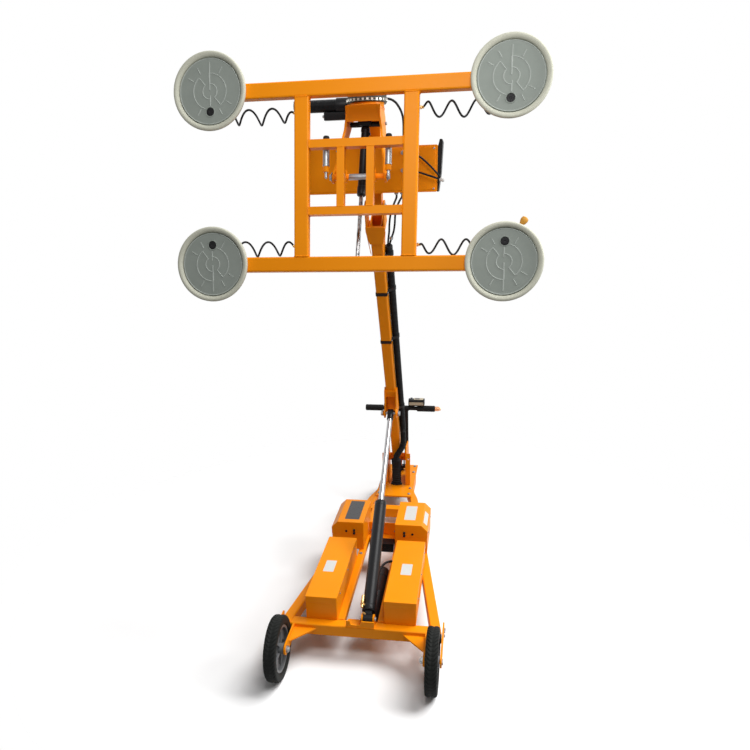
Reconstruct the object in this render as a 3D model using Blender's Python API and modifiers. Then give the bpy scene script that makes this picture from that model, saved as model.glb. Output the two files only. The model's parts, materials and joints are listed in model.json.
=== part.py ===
"""Electric vacuum glass lifter, built as separate named pieces, in metres with +Z up.

The front of the machine, with its suction pads, faces -Y. Distances called ..._Y below are
measured back from the front axle, and the machine as a whole is centred on the origin.
"""
import math

import bmesh
import bpy
from mathutils import Matrix, Vector

GAP = 0.0003                    # kept between two pieces that touch

# Front wheels
WHEEL_RADIUS = 0.155
WHEEL_WIDTH = 0.058
WHEEL_X = 0.36                  # middle of each tyre, out from the centre line
TYRE_SHOULDER = 0.012
RIM_RADIUS = 0.110
RIM_FLANGE = 0.010              # thickness of the rim's outer ring
RIM_WEB = 0.012                 # thickness of the spoked disc
RIM_WINDOWS = 5
WINDOW_RADIUS = 0.023
WINDOW_CIRCLE = 0.064           # from the wheel's centre to a window's
HUB_RADIUS = 0.026
AXLE_RADIUS = 0.010
WHEEL_PLAY = 0.004              # between a hub and the plates beside it

# Chassis of square tube
FRAME_TOP = 0.187
FRAME_TUBE = 0.060              # height of the beam and the side rails
TUBE_WALL = 0.004
BEAM_Y = 0.158                  # front face of the front beam
BEAM_DEPTH = 0.060
SIDE_RAIL_WIDTH = 0.050
SIDE_RAIL_FRONT_X = 0.368       # middle of the rail at its front end
SIDE_RAIL_FRONT_Y = 0.165
SIDE_RAIL_BEND_X = 0.140        # middle of the rail where it starts to bend inwards
SIDE_RAIL_BEND_Y = 1.60
SIDE_RAIL_BEND_LENGTH = 0.22
INNER_RAIL_WIDTH = 0.040
INNER_RAIL_HEIGHT = 0.040
INNER_RAIL_X = 0.080            # inner face
MID_MEMBER_Y = 1.05
REAR_MEMBER_Y = 1.44
MEMBER_DEPTH = 0.060

# Wheel carriers
CARRIER_PLATE = 0.008
CARRIER_EYE = 0.028             # radius of a plate's end round the axle
OUTER_PLATE_LENGTH = 0.095      # of its seat along the side rail, behind the rail's front end
GUSSET_REACH = 0.115
GUSSET_Z = 0.160

# Battery boxes and rear cabinets
BOX_X = 0.113                   # inner face
BOX_WIDTH = 0.157
BOX_Y = 0.205
BOX_LENGTH = 0.602
BOX_TOP = 0.313
CABINET_X = 0.090
CABINET_WIDTH = 0.185
CABINET_Y = 0.900
CABINET_LENGTH = 0.300
CABINET_TOP = 0.360
CABINET_CHAMFER = 0.035

# Hydraulic unit between the rails
TANK_RADIUS = 0.038
TANK_Y = 0.260
TANK_LENGTH = 0.480
TANK_Z = 0.148
OIL_HOSE_RADIUS = 0.007

# Mast foot
FOOT_PLATE_HALF_WIDTH = 0.120
FOOT_PLATE_Y = 1.620
FOOT_PLATE_LENGTH = 0.545
FOOT_PLATE_THICKNESS = 0.010
CHEEK_X = 0.062                 # inner face of each cheek plate
CHEEK_THICKNESS = 0.008
CHEEK_Y = 1.800
CHEEK_DEPTH = 0.200
CHEEK_TOP = 0.470
CHEEK_FLANGE = 0.033
FLANGE_SLOT = 0.014

# Boom
BOOM_PIVOT_Y = 1.900
BOOM_PIVOT_Z = 0.370
BOOM_LEAN = math.radians(29.5)
BOOM_WIDTH = 0.060
BOOM_DEPTH = 0.100
BOOM_WALL = 0.005
BOOM_BELOW_PIVOT = 0.045
BOOM_LENGTH = 1.905
BOOM_PIN_RADIUS = 0.016
BOOM_BOSS_RADIUS = 0.027
HEAD_PIVOT_BEYOND = 0.070       # from the boom tube's upper end to the head's pivot
HEAD_PIVOT_UP = BOOM_LENGTH - BOOM_BELOW_PIVOT + HEAD_PIVOT_BEYOND
HEAD_PIVOT_Y = BOOM_PIVOT_Y - HEAD_PIVOT_UP * math.sin(BOOM_LEAN)
HEAD_PIVOT_Z = BOOM_PIVOT_Z + HEAD_PIVOT_UP * math.cos(BOOM_LEAN)
HEAD_CHEEK_X = 0.040            # inner face of the plates at the boom's top
HEAD_CHEEK_THICKNESS = 0.008
HEAD_CHEEK_LENGTH = 0.130
HEAD_PIN_RADIUS = 0.014

# Lift cylinder
LIFT_FOOT_X = 0.040
LIFT_FOOT_Y = 0.190
LIFT_FOOT_Z = 0.222
LIFT_PIN_RADIUS = 0.010
LIFT_EYE_RADIUS = 0.022
LIFT_EYE_WIDTH = 0.044
EYE_PLAY = 0.0015               # round a pin that the eye may tilt on
BARREL_RADIUS = 0.034
BARREL_BORE = 0.028
BARREL_START = 0.050            # from the foot pin
BARREL_END = 0.720
BARREL_FLOOR = 0.070
GLAND_LENGTH = 0.035
ROD_RADIUS = 0.015
ROD_INSIDE = 0.100              # length of rod and piston inside the barrel when raised
PISTON_LENGTH = 0.030
ROD_EYE_RADIUS = 0.026
ROD_EYE_WIDTH = 0.034
ROD_PIVOT_UP = 0.589            # along the boom
ROD_PIVOT_OUT = 0.127           # forward of the boom's middle
LUG_RADIUS = 0.030
LUG_THICKNESS = 0.008
LUG_HEAD_RADIUS = 0.017         # of the bolt head outside each lug
LUG_HEAD_LENGTH = 0.008

# Hose sleeve along the boom
SLEEVE_RADIUS = 0.020
SLEEVE_BACK = 0.012             # behind the boom's middle
SLEEVE_TOP = BOOM_LENGTH - 0.205
SLEEVE_TURN = 0.330             # where it leaves the boom's side

# Head carrier, pump box and slewing drive
COLUMN_WIDTH = 0.070
COLUMN_DEPTH = 0.070
COLUMN_EYE = 0.035
ARM_TOP = HEAD_PIVOT_Z + 0.4972
ARM_THICKNESS = 0.015
ARM_FRONT_Y = HEAD_PIVOT_Y - 0.2896
PUMP_BOX_HALF_WIDTH = 0.305
PUMP_BOX_DEPTH = 0.115
PUMP_BOX_BOTTOM = HEAD_PIVOT_Z + 0.0682
PUMP_BOX_HEIGHT = 0.197
PUMP_LINE_RADIUS = 0.0045
PUMP_LINE_X = 0.120             # of the two unions on the pump box
SLEW_Y = HEAD_PIVOT_Y - 0.1996
SLEW_RADIUS = 0.0875
SLEW_HEIGHT = 0.045
WORM_BACK = 0.085               # from the slewing axis back to the worm's axis
WORM_HALF_LENGTH = 0.090
MOTOR_RADIUS = 0.031
MOTOR_LENGTH = 0.255

# Yoke under the slewing drive
YOKE_RING_RADIUS = 0.075
YOKE_RING_HEIGHT = 0.0165
YOKE_PLATE = 0.010
YOKE_ARM = 0.008
YOKE_FRONT_Y = SLEW_Y - 0.130
YOKE_BACK_Y = SLEW_Y + 0.060
YOKE_TOP_HALF_WIDTH = 0.070
YOKE_FRONT_DROP = 0.062
YOKE_SPLAY = math.radians(9.0)
SHAFT_Y = SLEW_Y - 0.250
SHAFT_Z = ARM_TOP - 0.357
SHAFT_RADIUS = 0.012
SHAFT_HALF_LENGTH = 0.126
ARM_EYE = 0.028

# Suction frame
FRAME_Y = SLEW_Y - 0.352
FRAME_Z = ARM_TOP - 0.358
FRAME_LEAN = math.radians(-13.6)
FRAME_DEPTH = 0.040
FRAME_BAR = 0.060
BEAM_HALF_LENGTH = 0.640
BEAM_UP = 0.341
POST_INNER_X = 0.191
LADDER_UP = 0.130
LADDER_BAR = 0.032
LADDER_POST_X = 0.060
LADDER_POST_WIDTH = 0.030
PAD_X = 0.598
PAD_RADIUS = 0.1525
PAD_DEPTH = 0.026
PAD_FACE_RADIUS = 0.130
PAD_FACE_SUNK = 0.012
PAD_PORT_DOWN = 0.078
PAD_PORT_RADIUS = 0.016
PAD_PORT_DEPTH = 0.007
ELBOW_RADIUS = 0.010
ELBOW_REACH = 0.038
COIL_RADIUS = 0.034
COIL_SAG = 0.014

# Frame tilt actuator
TILT_TOP_Y = SLEW_Y - 0.050
TILT_TOP_Z = ARM_TOP - 0.147
TILT_EYE_BACK = 0.034           # behind the lower beam's back face
TILT_BARREL_RADIUS = 0.019
TILT_BARREL_LENGTH = 0.330
TILT_ROD_RADIUS = 0.009
TILT_TRUNNION_RADIUS = 0.011
TILT_EYE_RADIUS = 0.014
TILT_LUG_GAP = 0.012            # half the space between the lower lugs

# Locking pins on the suction frame
LATCH_X = 0.128
LATCH_SLEEVE_RADIUS = 0.012
LATCH_PIN_RADIUS = 0.006
LATCH_KNOB_RADIUS = 0.013

# Rear drive unit and tiller
DRIVE_Y = 2.070
DRIVE_RADIUS = 0.080
DRIVE_WIDTH = 0.056
DRIVE_DISC_RADIUS = 0.088
DRIVE_DISC_HEIGHT = 0.018
STEER_SHAFT_RADIUS = 0.024
TILLER_X = 0.045
TILLER_PIVOT_Z = 0.300
TILLER_PIN_RADIUS = 0.008
TILLER_WIDTH = 0.026
TILLER_BAR_Z = 0.675
TILLER_BAR_Y = 2.050
TILLER_BAR_LEFT = 0.241
TILLER_BAR_RIGHT = 0.245
TILLER_BAR_RADIUS = 0.014
GRIP_RADIUS = 0.018
GRIP_LENGTH = 0.125
INSTRUMENT_WIDTH = 0.110
INSTRUMENT_HEIGHT = 0.046
INSTRUMENT_DEPTH = 0.060
THROTTLE_LENGTH = 0.034
BUTTON_RADIUS = 0.008
BUTTON_TRAVEL = 0.003
BUTTON_INSET = 0.020            # from the instrument's end to the button
BUTTON_WELL = 0.009             # depth of the hole that the button slides in

REAR_END_Y = FOOT_PLATE_Y + FOOT_PLATE_LENGTH
CENTRE_Y = (REAR_END_Y - WHEEL_RADIUS) / 2

ORANGE = ("orange_paint", (0.90, 0.30, 0.02), 0.35, 0.0)
RUBBER = ("black_rubber", (0.02, 0.02, 0.02), 0.80, 0.0)
BLACK = ("black_paint", (0.03, 0.03, 0.03), 0.45, 0.0)
STEEL = ("bright_steel", (0.70, 0.70, 0.72), 0.20, 1.0)
RIM_GREY = ("rim_grey", (0.42, 0.43, 0.44), 0.40, 0.6)
PAD_GREY = ("pad_rubber", (0.36, 0.40, 0.38), 0.60, 0.0)

for old in list(bpy.data.objects):
    bpy.data.objects.remove(old, do_unlink=True)

parts = bpy.data.collections.new("glass_lifter")
cutters = bpy.data.collections.new("cutters")
bpy.context.scene.collection.children.link(parts)
bpy.context.scene.collection.children.link(cutters)
in_machine = {}                 # where each pivot stands, seen from the machine's own empty


# Shared shape makers

def material(finish):
    """The Principled material of one finish, made once."""
    name, colour, roughness, metallic = finish
    found = bpy.data.materials.get(name)
    if found:
        return found
    made = bpy.data.materials.new(name)
    made.use_nodes = True
    shader = made.node_tree.nodes["Principled BSDF"]
    shader.inputs["Base Color"].default_value = (*colour, 1.0)
    shader.inputs["Roughness"].default_value = roughness
    shader.inputs["Metallic"].default_value = metallic
    return made


def pivot(name, parent, place):
    """An empty on a joint's axis, at a place given in the machine's frame."""
    empty = bpy.data.objects.new(name, None)
    parts.objects.link(empty)
    in_machine[name] = place
    if parent:
        empty.parent = parent
        empty.matrix_basis = in_machine[parent.name].inverted() @ place
    else:
        empty.matrix_basis = place
    return empty


def leaning(y, z, lean=0.0, x=0.0):
    """A place in the machine's frame whose own Z leans forward by an angle."""
    return Matrix.Translation((x, y, z)) @ Matrix.Rotation(lean, 4, "X")


def show(obj, finish, parent, at=(0, 0, 0), smooth=True):
    """Put a finished object under its pivot with its material."""
    parts.objects.link(obj)
    obj.parent = parent
    obj.location = at
    if obj.data.materials:
        obj.data.materials[0] = material(finish)
    else:
        obj.data.materials.append(material(finish))
    if smooth and obj.type == "MESH":
        obj.data.shade_smooth()
        obj.data.set_sharp_from_angle(angle=math.radians(35))
    return obj


def block(name, low, high, chamfer=0.0):
    """A box between two corners, with its origin at the parent's."""
    mesh = bpy.data.meshes.new(name)
    bm = bmesh.new()
    bmesh.ops.create_cube(bm, size=1.0)
    low, high = Vector(low), Vector(high)
    size = high - low
    bmesh.ops.scale(bm, vec=size, verts=bm.verts)
    bmesh.ops.translate(bm, vec=(low + high) / 2, verts=bm.verts)
    bm.to_mesh(mesh)
    bm.free()
    obj = bpy.data.objects.new(name, mesh)
    if chamfer:
        rounding(obj, chamfer)
    return obj


def rounding(obj, width, segments=1):
    """Round the sharp edges of an object."""
    bevel = obj.modifiers.new("rounding", "BEVEL")
    bevel.width = width
    bevel.segments = segments
    bevel.limit_method = "ANGLE"
    bevel.angle_limit = math.radians(40)


def round_bar(name, radius, start, end, sides=16):
    """A solid round bar between two points."""
    start, end = Vector(start), Vector(end)
    mesh = bpy.data.meshes.new(name)
    bm = bmesh.new()
    bmesh.ops.create_cone(bm, cap_ends=True, segments=sides, radius1=radius, radius2=radius,
                          depth=(end - start).length)
    turn = (end - start).to_track_quat("Z", "Y").to_matrix().to_4x4()
    bmesh.ops.transform(bm, matrix=Matrix.Translation((start + end) / 2) @ turn, verts=bm.verts)
    bm.to_mesh(mesh)
    bm.free()
    return bpy.data.objects.new(name, mesh)


def turned(name, profile, steps=32):
    """A ring or solid turned about Z from (radius, height) points that run down its outer side."""
    mesh = bpy.data.meshes.new(name)
    bm = bmesh.new()
    ring = [bm.verts.new((radius, 0, height)) for radius, height in profile]
    closed = profile[0][0] > 0 and profile[-1][0] > 0
    for first, second in zip(ring, ring[1:] + ring[:1] if closed else ring[1:]):
        bm.edges.new((first, second))
    bm.to_mesh(mesh)
    bm.free()
    obj = bpy.data.objects.new(name, mesh)
    screw = obj.modifiers.new("turning", "SCREW")
    screw.axis = "Z"
    screw.steps = screw.render_steps = steps
    screw.use_merge_vertices = True
    screw.merge_threshold = 0.00005
    return obj


PLANES = {
    "front": Matrix.Rotation(math.radians(90), 4, "X"),
    "side": Matrix.Rotation(math.radians(90), 4, "Z") @ Matrix.Rotation(math.radians(90), 4, "X"),
    "plan": Matrix.Identity(4),
}


def slab(name, outlines, plane, low, high):
    """A flat outline, with its holes, drawn in a plane and given a thickness from low to high.

    In "plan" an outline is (x, y) and the thickness runs up Z, in "side" it is (y, z) and runs
    along X, and in "front" it is (x, z) and runs along Y.
    """
    curve = bpy.data.curves.new(name, "CURVE")
    curve.dimensions = "2D"
    curve.fill_mode = "BOTH"
    curve.extrude = (high - low) / 2
    for outline in outlines:
        spline = curve.splines.new("POLY")
        spline.points.add(len(outline) - 1)
        for point, (u, v) in zip(spline.points, outline):
            point.co = (u, v, 0, 1)
        spline.use_cyclic_u = True
    drawn = bpy.data.objects.new(name, curve)
    middle = (low + high) / 2
    if plane == "front":
        middle = -middle
    mesh = mesh_of(drawn, PLANES[plane] @ Matrix.Translation((0, 0, middle)))
    return bpy.data.objects.new(name, mesh)


def mesh_of(obj, place):
    """The evaluated, welded mesh of a curve that isn't kept."""
    bpy.context.scene.collection.objects.link(obj)
    evaluated = obj.evaluated_get(bpy.context.evaluated_depsgraph_get())
    mesh = bpy.data.meshes.new_from_object(evaluated)
    mesh.name = obj.name
    bpy.data.objects.remove(obj, do_unlink=True)
    bm = bmesh.new()
    bm.from_mesh(mesh)
    bmesh.ops.remove_doubles(bm, verts=bm.verts, dist=0.00002)
    bmesh.ops.transform(bm, matrix=place, verts=bm.verts)
    bmesh.ops.recalc_face_normals(bm, faces=bm.faces)
    bm.to_mesh(mesh)
    bm.free()
    return mesh


def arc(centre, radius, start, end, steps=8):
    """Points round an arc, with its angles in degrees."""
    points = []
    for i in range(steps + 1):
        angle = math.radians(start + (end - start) * i / steps)
        points.append((centre[0] + radius * math.cos(angle), centre[1] + radius * math.sin(angle)))
    return points


def hole(centre, radius, sides=24):
    """The outline of a round hole."""
    return arc(centre, radius, 0, 360 - 360 / sides, sides - 1)


def rounded_rectangle(half_width, half_height, corner, steps=2):
    """The outline of a tube's section, round the origin."""
    points = []
    for sx, sy, start in ((1, 1, 0), (-1, 1, 90), (-1, -1, 180), (1, -1, 270)):
        centre = (sx * (half_width - corner), sy * (half_height - corner))
        points += arc(centre, corner, start, start + 90, steps)
    return points


def tube(name, width, height, wall, length):
    """A square tube along Z from 0 to its length, with rounded corners and open ends."""
    corner = 1.5 * wall
    outer = rounded_rectangle(width / 2, height / 2, corner)
    inner = rounded_rectangle(width / 2 - wall, height / 2 - wall, corner - wall)
    return slab(name, [outer, inner], "plan", 0, length)


def hose(name, points, radius, resolution=2):
    """A round hose on a smooth line through the points, with filled ends."""
    curve = bpy.data.curves.new(name, "CURVE")
    curve.dimensions = "3D"
    curve.bevel_depth = radius
    curve.bevel_resolution = resolution
    curve.use_fill_caps = True
    line = smooth_line(points, 4 * radius)
    spline = curve.splines.new("POLY")
    spline.points.add(len(line) - 1)
    for point, place in zip(spline.points, line):
        point.co = (*place, 1)
    return bpy.data.objects.new(name, curve)


def smooth_line(points, spacing):
    """A line through the points, straight from each end point to the next and smooth between."""
    given = [Vector(point) for point in points]
    line = [given[0]]
    for before, start, end, after in zip(given, given[1:], given[2:], given[3:]):
        count = max(1, round((end - start).length / spacing))
        for i in range(count):
            t = i / count
            line.append(0.5 * (2 * start + (end - before) * t
                               + (2 * before - 5 * start + 4 * end - after) * t * t
                               + (3 * start - before - 3 * end + after) * t * t * t))
    return line + given[-2:]


def boolean(obj, tool, operation):
    """Join a hidden tool to an object or cut it away, with the exact solver."""
    cutters.objects.link(tool)
    tool.hide_render = True
    tool.display_type = "WIRE"
    step = obj.modifiers.new(tool.name, "BOOLEAN")
    step.operation = operation
    step.solver = "EXACT"
    step.object = tool
    tool.parent = obj
    return obj


def join(obj, *tools):
    for tool in tools:
        boolean(obj, tool, "UNION")
    return obj


def cut(obj, *tools):
    for tool in tools:
        boolean(obj, tool, "DIFFERENCE")
    return obj


def drop_shape(far, near_low, near_high, radius, sweep):
    """A plate's outline in (y, z): two corners joined to a round end about a far point."""
    return [near_low, near_high, *arc(far, radius, *sweep)]


# Chassis

def side_rail_x(y):
    """How far out the middle of a side rail lies at a distance behind the front axle."""
    slope = (SIDE_RAIL_BEND_X - SIDE_RAIL_FRONT_X) / (SIDE_RAIL_BEND_Y - SIDE_RAIL_FRONT_Y)
    straight = SIDE_RAIL_FRONT_X + slope * (y - SIDE_RAIL_FRONT_Y)
    if y <= SIDE_RAIL_BEND_Y:
        return straight
    against_cheek = CHEEK_X + CHEEK_THICKNESS + GAP + SIDE_RAIL_WIDTH / 2
    t = min(1.0, (y - SIDE_RAIL_BEND_Y) / SIDE_RAIL_BEND_LENGTH)
    ease = 3 * t * t - 2 * t * t * t
    held = SIDE_RAIL_BEND_X + slope * (y - SIDE_RAIL_BEND_Y)
    return held + (against_cheek - held) * ease


def make_front_beam(machine):
    front, back = BEAM_Y, BEAM_Y + BEAM_DEPTH
    inside = SIDE_RAIL_WIDTH / 2 + GAP * 2
    outline = [(-side_rail_x(front) + inside, front), (side_rail_x(front) - inside, front),
               (side_rail_x(back) - inside, back), (-side_rail_x(back) + inside, back)]
    beam = slab("front_beam", [outline], "plan", FRAME_TOP - FRAME_TUBE, FRAME_TOP)
    rounding(beam, 0.004)
    show(beam, ORANGE, machine)


def make_side_rails(machine):
    end = CHEEK_Y + CHEEK_DEPTH
    bend = [SIDE_RAIL_BEND_Y + SIDE_RAIL_BEND_LENGTH * i / 6 for i in range(7)]
    stations = [SIDE_RAIL_FRONT_Y, *bend, end]
    for side, sign in (("left", -1), ("right", 1)):
        outer = [(sign * (side_rail_x(y) + SIDE_RAIL_WIDTH / 2), y) for y in stations]
        inner = [(sign * (side_rail_x(y) - SIDE_RAIL_WIDTH / 2), y) for y in reversed(stations)]
        rail = slab(f"side_rail_{side}", [outer + inner], "plan", FRAME_TOP - FRAME_TUBE, FRAME_TOP)
        rounding(rail, 0.004)
        show(rail, ORANGE, machine)


def make_inner_rails(machine):
    start, end = BEAM_Y + BEAM_DEPTH + GAP, REAR_MEMBER_Y - GAP
    for side, sign in (("left", -1), ("right", 1)):
        rail = tube(f"inner_rail_{side}", INNER_RAIL_WIDTH, INNER_RAIL_HEIGHT, TUBE_WALL, end - start)
        show(rail, ORANGE, machine, (sign * (INNER_RAIL_X + INNER_RAIL_WIDTH / 2), start,
                                     FRAME_TOP - INNER_RAIL_HEIGHT / 2))
        rail.rotation_euler = (math.radians(-90), 0, 0)


def make_cross_members(machine):
    half = INNER_RAIL_X - GAP
    mid = block("cross_member_mid", (-half, MID_MEMBER_Y, FRAME_TOP - FRAME_TUBE),
                (half, MID_MEMBER_Y + MEMBER_DEPTH, FRAME_TOP), 0.004)
    show(mid, ORANGE, machine)
    front, back = REAR_MEMBER_Y, REAR_MEMBER_Y + MEMBER_DEPTH
    inside = SIDE_RAIL_WIDTH / 2 + GAP * 2
    outline = [(-side_rail_x(front) + inside, front), (side_rail_x(front) - inside, front),
               (side_rail_x(back) - inside, back), (-side_rail_x(back) + inside, back)]
    rear = slab("cross_member_rear", [outline], "plan", FRAME_TOP - FRAME_TUBE, FRAME_TOP)
    rounding(rear, 0.004)
    show(rear, ORANGE, machine)


def make_mast_foot(machine):
    """Foot plate, two cheek plates with flanges, and the boom's pin, welded into one."""
    low, top = FRAME_TOP + GAP, FRAME_TOP + GAP + FOOT_PLATE_THICKNESS
    half = FOOT_PLATE_HALF_WIDTH
    back = FOOT_PLATE_Y + FOOT_PLATE_LENGTH
    plate_outline = [(-half, FOOT_PLATE_Y), (half, FOOT_PLATE_Y), (half, back), (-half, back)]
    shaft_hole = hole((0, DRIVE_Y), STEER_SHAFT_RADIUS + GAP)
    foot = slab("mast_foot", [plate_outline, shaft_hole], "plan", low, top)
    sunk = top - 0.002
    for side, sign in (("left", -1), ("right", 1)):
        near, far = sorted((sign * CHEEK_X, sign * (CHEEK_X + CHEEK_THICKNESS)))
        rear = CHEEK_Y + CHEEK_DEPTH
        outline = [(CHEEK_Y, sunk), (rear, sunk), (rear, top + CHEEK_DEPTH / 2),
                   (rear - 0.055, CHEEK_TOP), (CHEEK_Y + 0.03, CHEEK_TOP), (CHEEK_Y, CHEEK_TOP - 0.03)]
        cheek = slab(f"cheek_{side}", [outline], "side", near, far)
        near, far = sorted((sign * (CHEEK_X + 0.002), sign * (CHEEK_X + CHEEK_FLANGE)))
        slot_x = sign * (CHEEK_X + CHEEK_THICKNESS + FLANGE_SLOT)
        slot = [(slot_x + u * FLANGE_SLOT / 2, CHEEK_TOP - 0.08 + v * FLANGE_SLOT / 2)
                for u, v in ((-1, -1), (1, -1), (1, 1), (-1, 1))]
        flange_outline = [(near, sunk), (far, sunk), (far, CHEEK_TOP - 0.04), (near, CHEEK_TOP - 0.04)]
        flange = slab(f"flange_{side}", [flange_outline, slot], "front", CHEEK_Y + 0.001,
                      CHEEK_Y + CHEEK_THICKNESS)
        join(foot, cheek, flange)
    reach = CHEEK_X + CHEEK_THICKNESS + 0.010
    join(foot, round_bar("boom_pin", BOOM_PIN_RADIUS, (-reach, BOOM_PIVOT_Y, BOOM_PIVOT_Z),
                         (reach, BOOM_PIVOT_Y, BOOM_PIVOT_Z), 24))
    show(foot, ORANGE, machine)


def make_wheel_carriers(machine):
    """An inner bracket on the beam and an outer plate with the axle on the rail, for each wheel."""
    low = FRAME_TOP - FRAME_TUBE
    axle_z = WHEEL_RADIUS
    hub_half = WHEEL_WIDTH / 2 + 0.002
    inner_x = WHEEL_X - hub_half - WHEEL_PLAY
    outer_x = SIDE_RAIL_FRONT_X + SIDE_RAIL_WIDTH / 2 + GAP * 3
    for side, sign in (("left", -1), ("right", 1)):
        outline = drop_shape((0, axle_z), (BEAM_Y - GAP, low), (BEAM_Y - GAP, FRAME_TOP),
                             CARRIER_EYE, (80, 280))
        eye = hole((0, axle_z), AXLE_RADIUS + GAP)
        near, far = sorted((sign * inner_x, sign * (inner_x - CARRIER_PLATE)))
        bracket = slab(f"wheel_bracket_{side}", [outline, eye], "side", near, far)
        gusset_outline = [(sign * (inner_x - 0.002), CARRIER_EYE + AXLE_RADIUS),
                          (sign * (inner_x - 0.002), BEAM_Y - GAP),
                          (sign * (inner_x - GUSSET_REACH), BEAM_Y - GAP)]
        join(bracket, slab(f"gusset_{side}", [gusset_outline], "plan", GUSSET_Z,
                           GUSSET_Z + CARRIER_PLATE))
        show(bracket, ORANGE, machine)

        seat = SIDE_RAIL_FRONT_Y + OUTER_PLATE_LENGTH
        outline = drop_shape((0, axle_z), (seat, low + 0.004), (seat, FRAME_TOP - 0.004),
                             CARRIER_EYE, (80, 280))
        near, far = sorted((sign * outer_x, sign * (outer_x + CARRIER_PLATE)))
        plate = slab(f"axle_plate_{side}", [outline], "side", near, far)
        join(plate, round_bar(f"axle_{side}", AXLE_RADIUS,
                              (sign * (inner_x - CARRIER_PLATE - 0.006), 0, axle_z),
                              (sign * (outer_x + CARRIER_PLATE + 0.006), 0, axle_z)))
        show(plate, ORANGE, machine)


def make_boxes(machine):
    """Battery boxes at the front and cabinets with one slanted edge behind them."""
    bottom = FRAME_TOP + GAP
    for side, sign in (("left", -1), ("right", 1)):
        near, far = sorted((sign * BOX_X, sign * (BOX_X + BOX_WIDTH)))
        box = block(f"battery_box_{side}", (near, BOX_Y, bottom), (far, BOX_Y + BOX_LENGTH, BOX_TOP),
                    0.003)
        show(box, ORANGE, machine)
        inner, outer = CABINET_X, CABINET_X + CABINET_WIDTH
        outline = [(inner, bottom), (outer, bottom), (outer, CABINET_TOP - CABINET_CHAMFER),
                   (outer - CABINET_CHAMFER, CABINET_TOP), (inner, CABINET_TOP)]
        cabinet = slab(f"cabinet_{side}", [[(sign * x, z) for x, z in outline]], "front", CABINET_Y,
                       CABINET_Y + CABINET_LENGTH)
        rounding(cabinet, 0.003)
        show(cabinet, ORANGE, machine)


def make_hydraulic_unit(machine):
    tank_x = INNER_RAIL_X - GAP - TANK_RADIUS
    tank = round_bar("hydraulic_tank", TANK_RADIUS, (tank_x, TANK_Y, TANK_Z),
                     (tank_x, TANK_Y + TANK_LENGTH, TANK_Z), 24)
    rounding(tank, 0.004)
    show(tank, BLACK, machine)
    tank_top = TANK_Z + TANK_RADIUS + GAP
    points = [(BOX_X - GAP, 0.665, 0.262), (BOX_X - 0.010, 0.665, 0.262), (0.094, 0.640, 0.278),
              (0.090, 0.580, 0.286), (0.084, 0.520, 0.264), (0.072, 0.478, 0.226),
              (tank_x, 0.455, tank_top + 0.010), (tank_x, 0.455, tank_top)]
    show(hose("hydraulic_hose", points, OIL_HOSE_RADIUS), RUBBER, machine)


def make_cylinder_saddle(machine):
    """The notched front plate, two lugs and the pin that hold the lift cylinder's foot."""
    low = FRAME_TOP + GAP
    lug_x = LIFT_EYE_WIDTH / 2 + 0.002
    right = LIFT_FOOT_X + lug_x + LUG_THICKNESS
    left = -0.063
    front, back = BEAM_Y + 0.001, BEAM_Y + BEAM_DEPTH - 0.001
    saddle = block("cylinder_saddle", (left, front, low), (right, back, low + 0.006))
    notch_left, notch_right = left + 0.018, LIFT_FOOT_X - lug_x - LUG_THICKNESS
    ear = low + 0.034
    outline = [(left, low + 0.002), (right, low + 0.002), (right, ear), (notch_right + 0.004, ear),
               *arc((notch_right - 0.012, low + 0.022), 0.010, 0, -90, 4),
               *arc((notch_left + 0.012, low + 0.022), 0.010, -90, -180, 4), (notch_left, ear),
               (left, ear)]
    join(saddle, slab("saddle_front", [outline], "front", front + 0.0005, front + 0.0068))
    eye_centre = (LIFT_FOOT_Y, LIFT_FOOT_Z)
    lug_outline = [(front + 0.0008, low + 0.002), (back - 0.001, low + 0.002),
                   *arc(eye_centre, LIFT_EYE_RADIUS, 0, 180, 12)]
    for end, sign in (("left", -1), ("right", 1)):
        near, far = sorted((LIFT_FOOT_X + sign * lug_x, LIFT_FOOT_X + sign * (lug_x + LUG_THICKNESS)))
        join(saddle, slab(f"foot_lug_{end}", [lug_outline], "side", near + 0.0002, far - 0.0002))
    reach = lug_x + LUG_THICKNESS + 0.006
    join(saddle, round_bar("foot_pin", LIFT_PIN_RADIUS, (LIFT_FOOT_X - reach, *eye_centre),
                           (LIFT_FOOT_X + reach, *eye_centre)))
    show(saddle, ORANGE, machine)


# Front wheels

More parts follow.
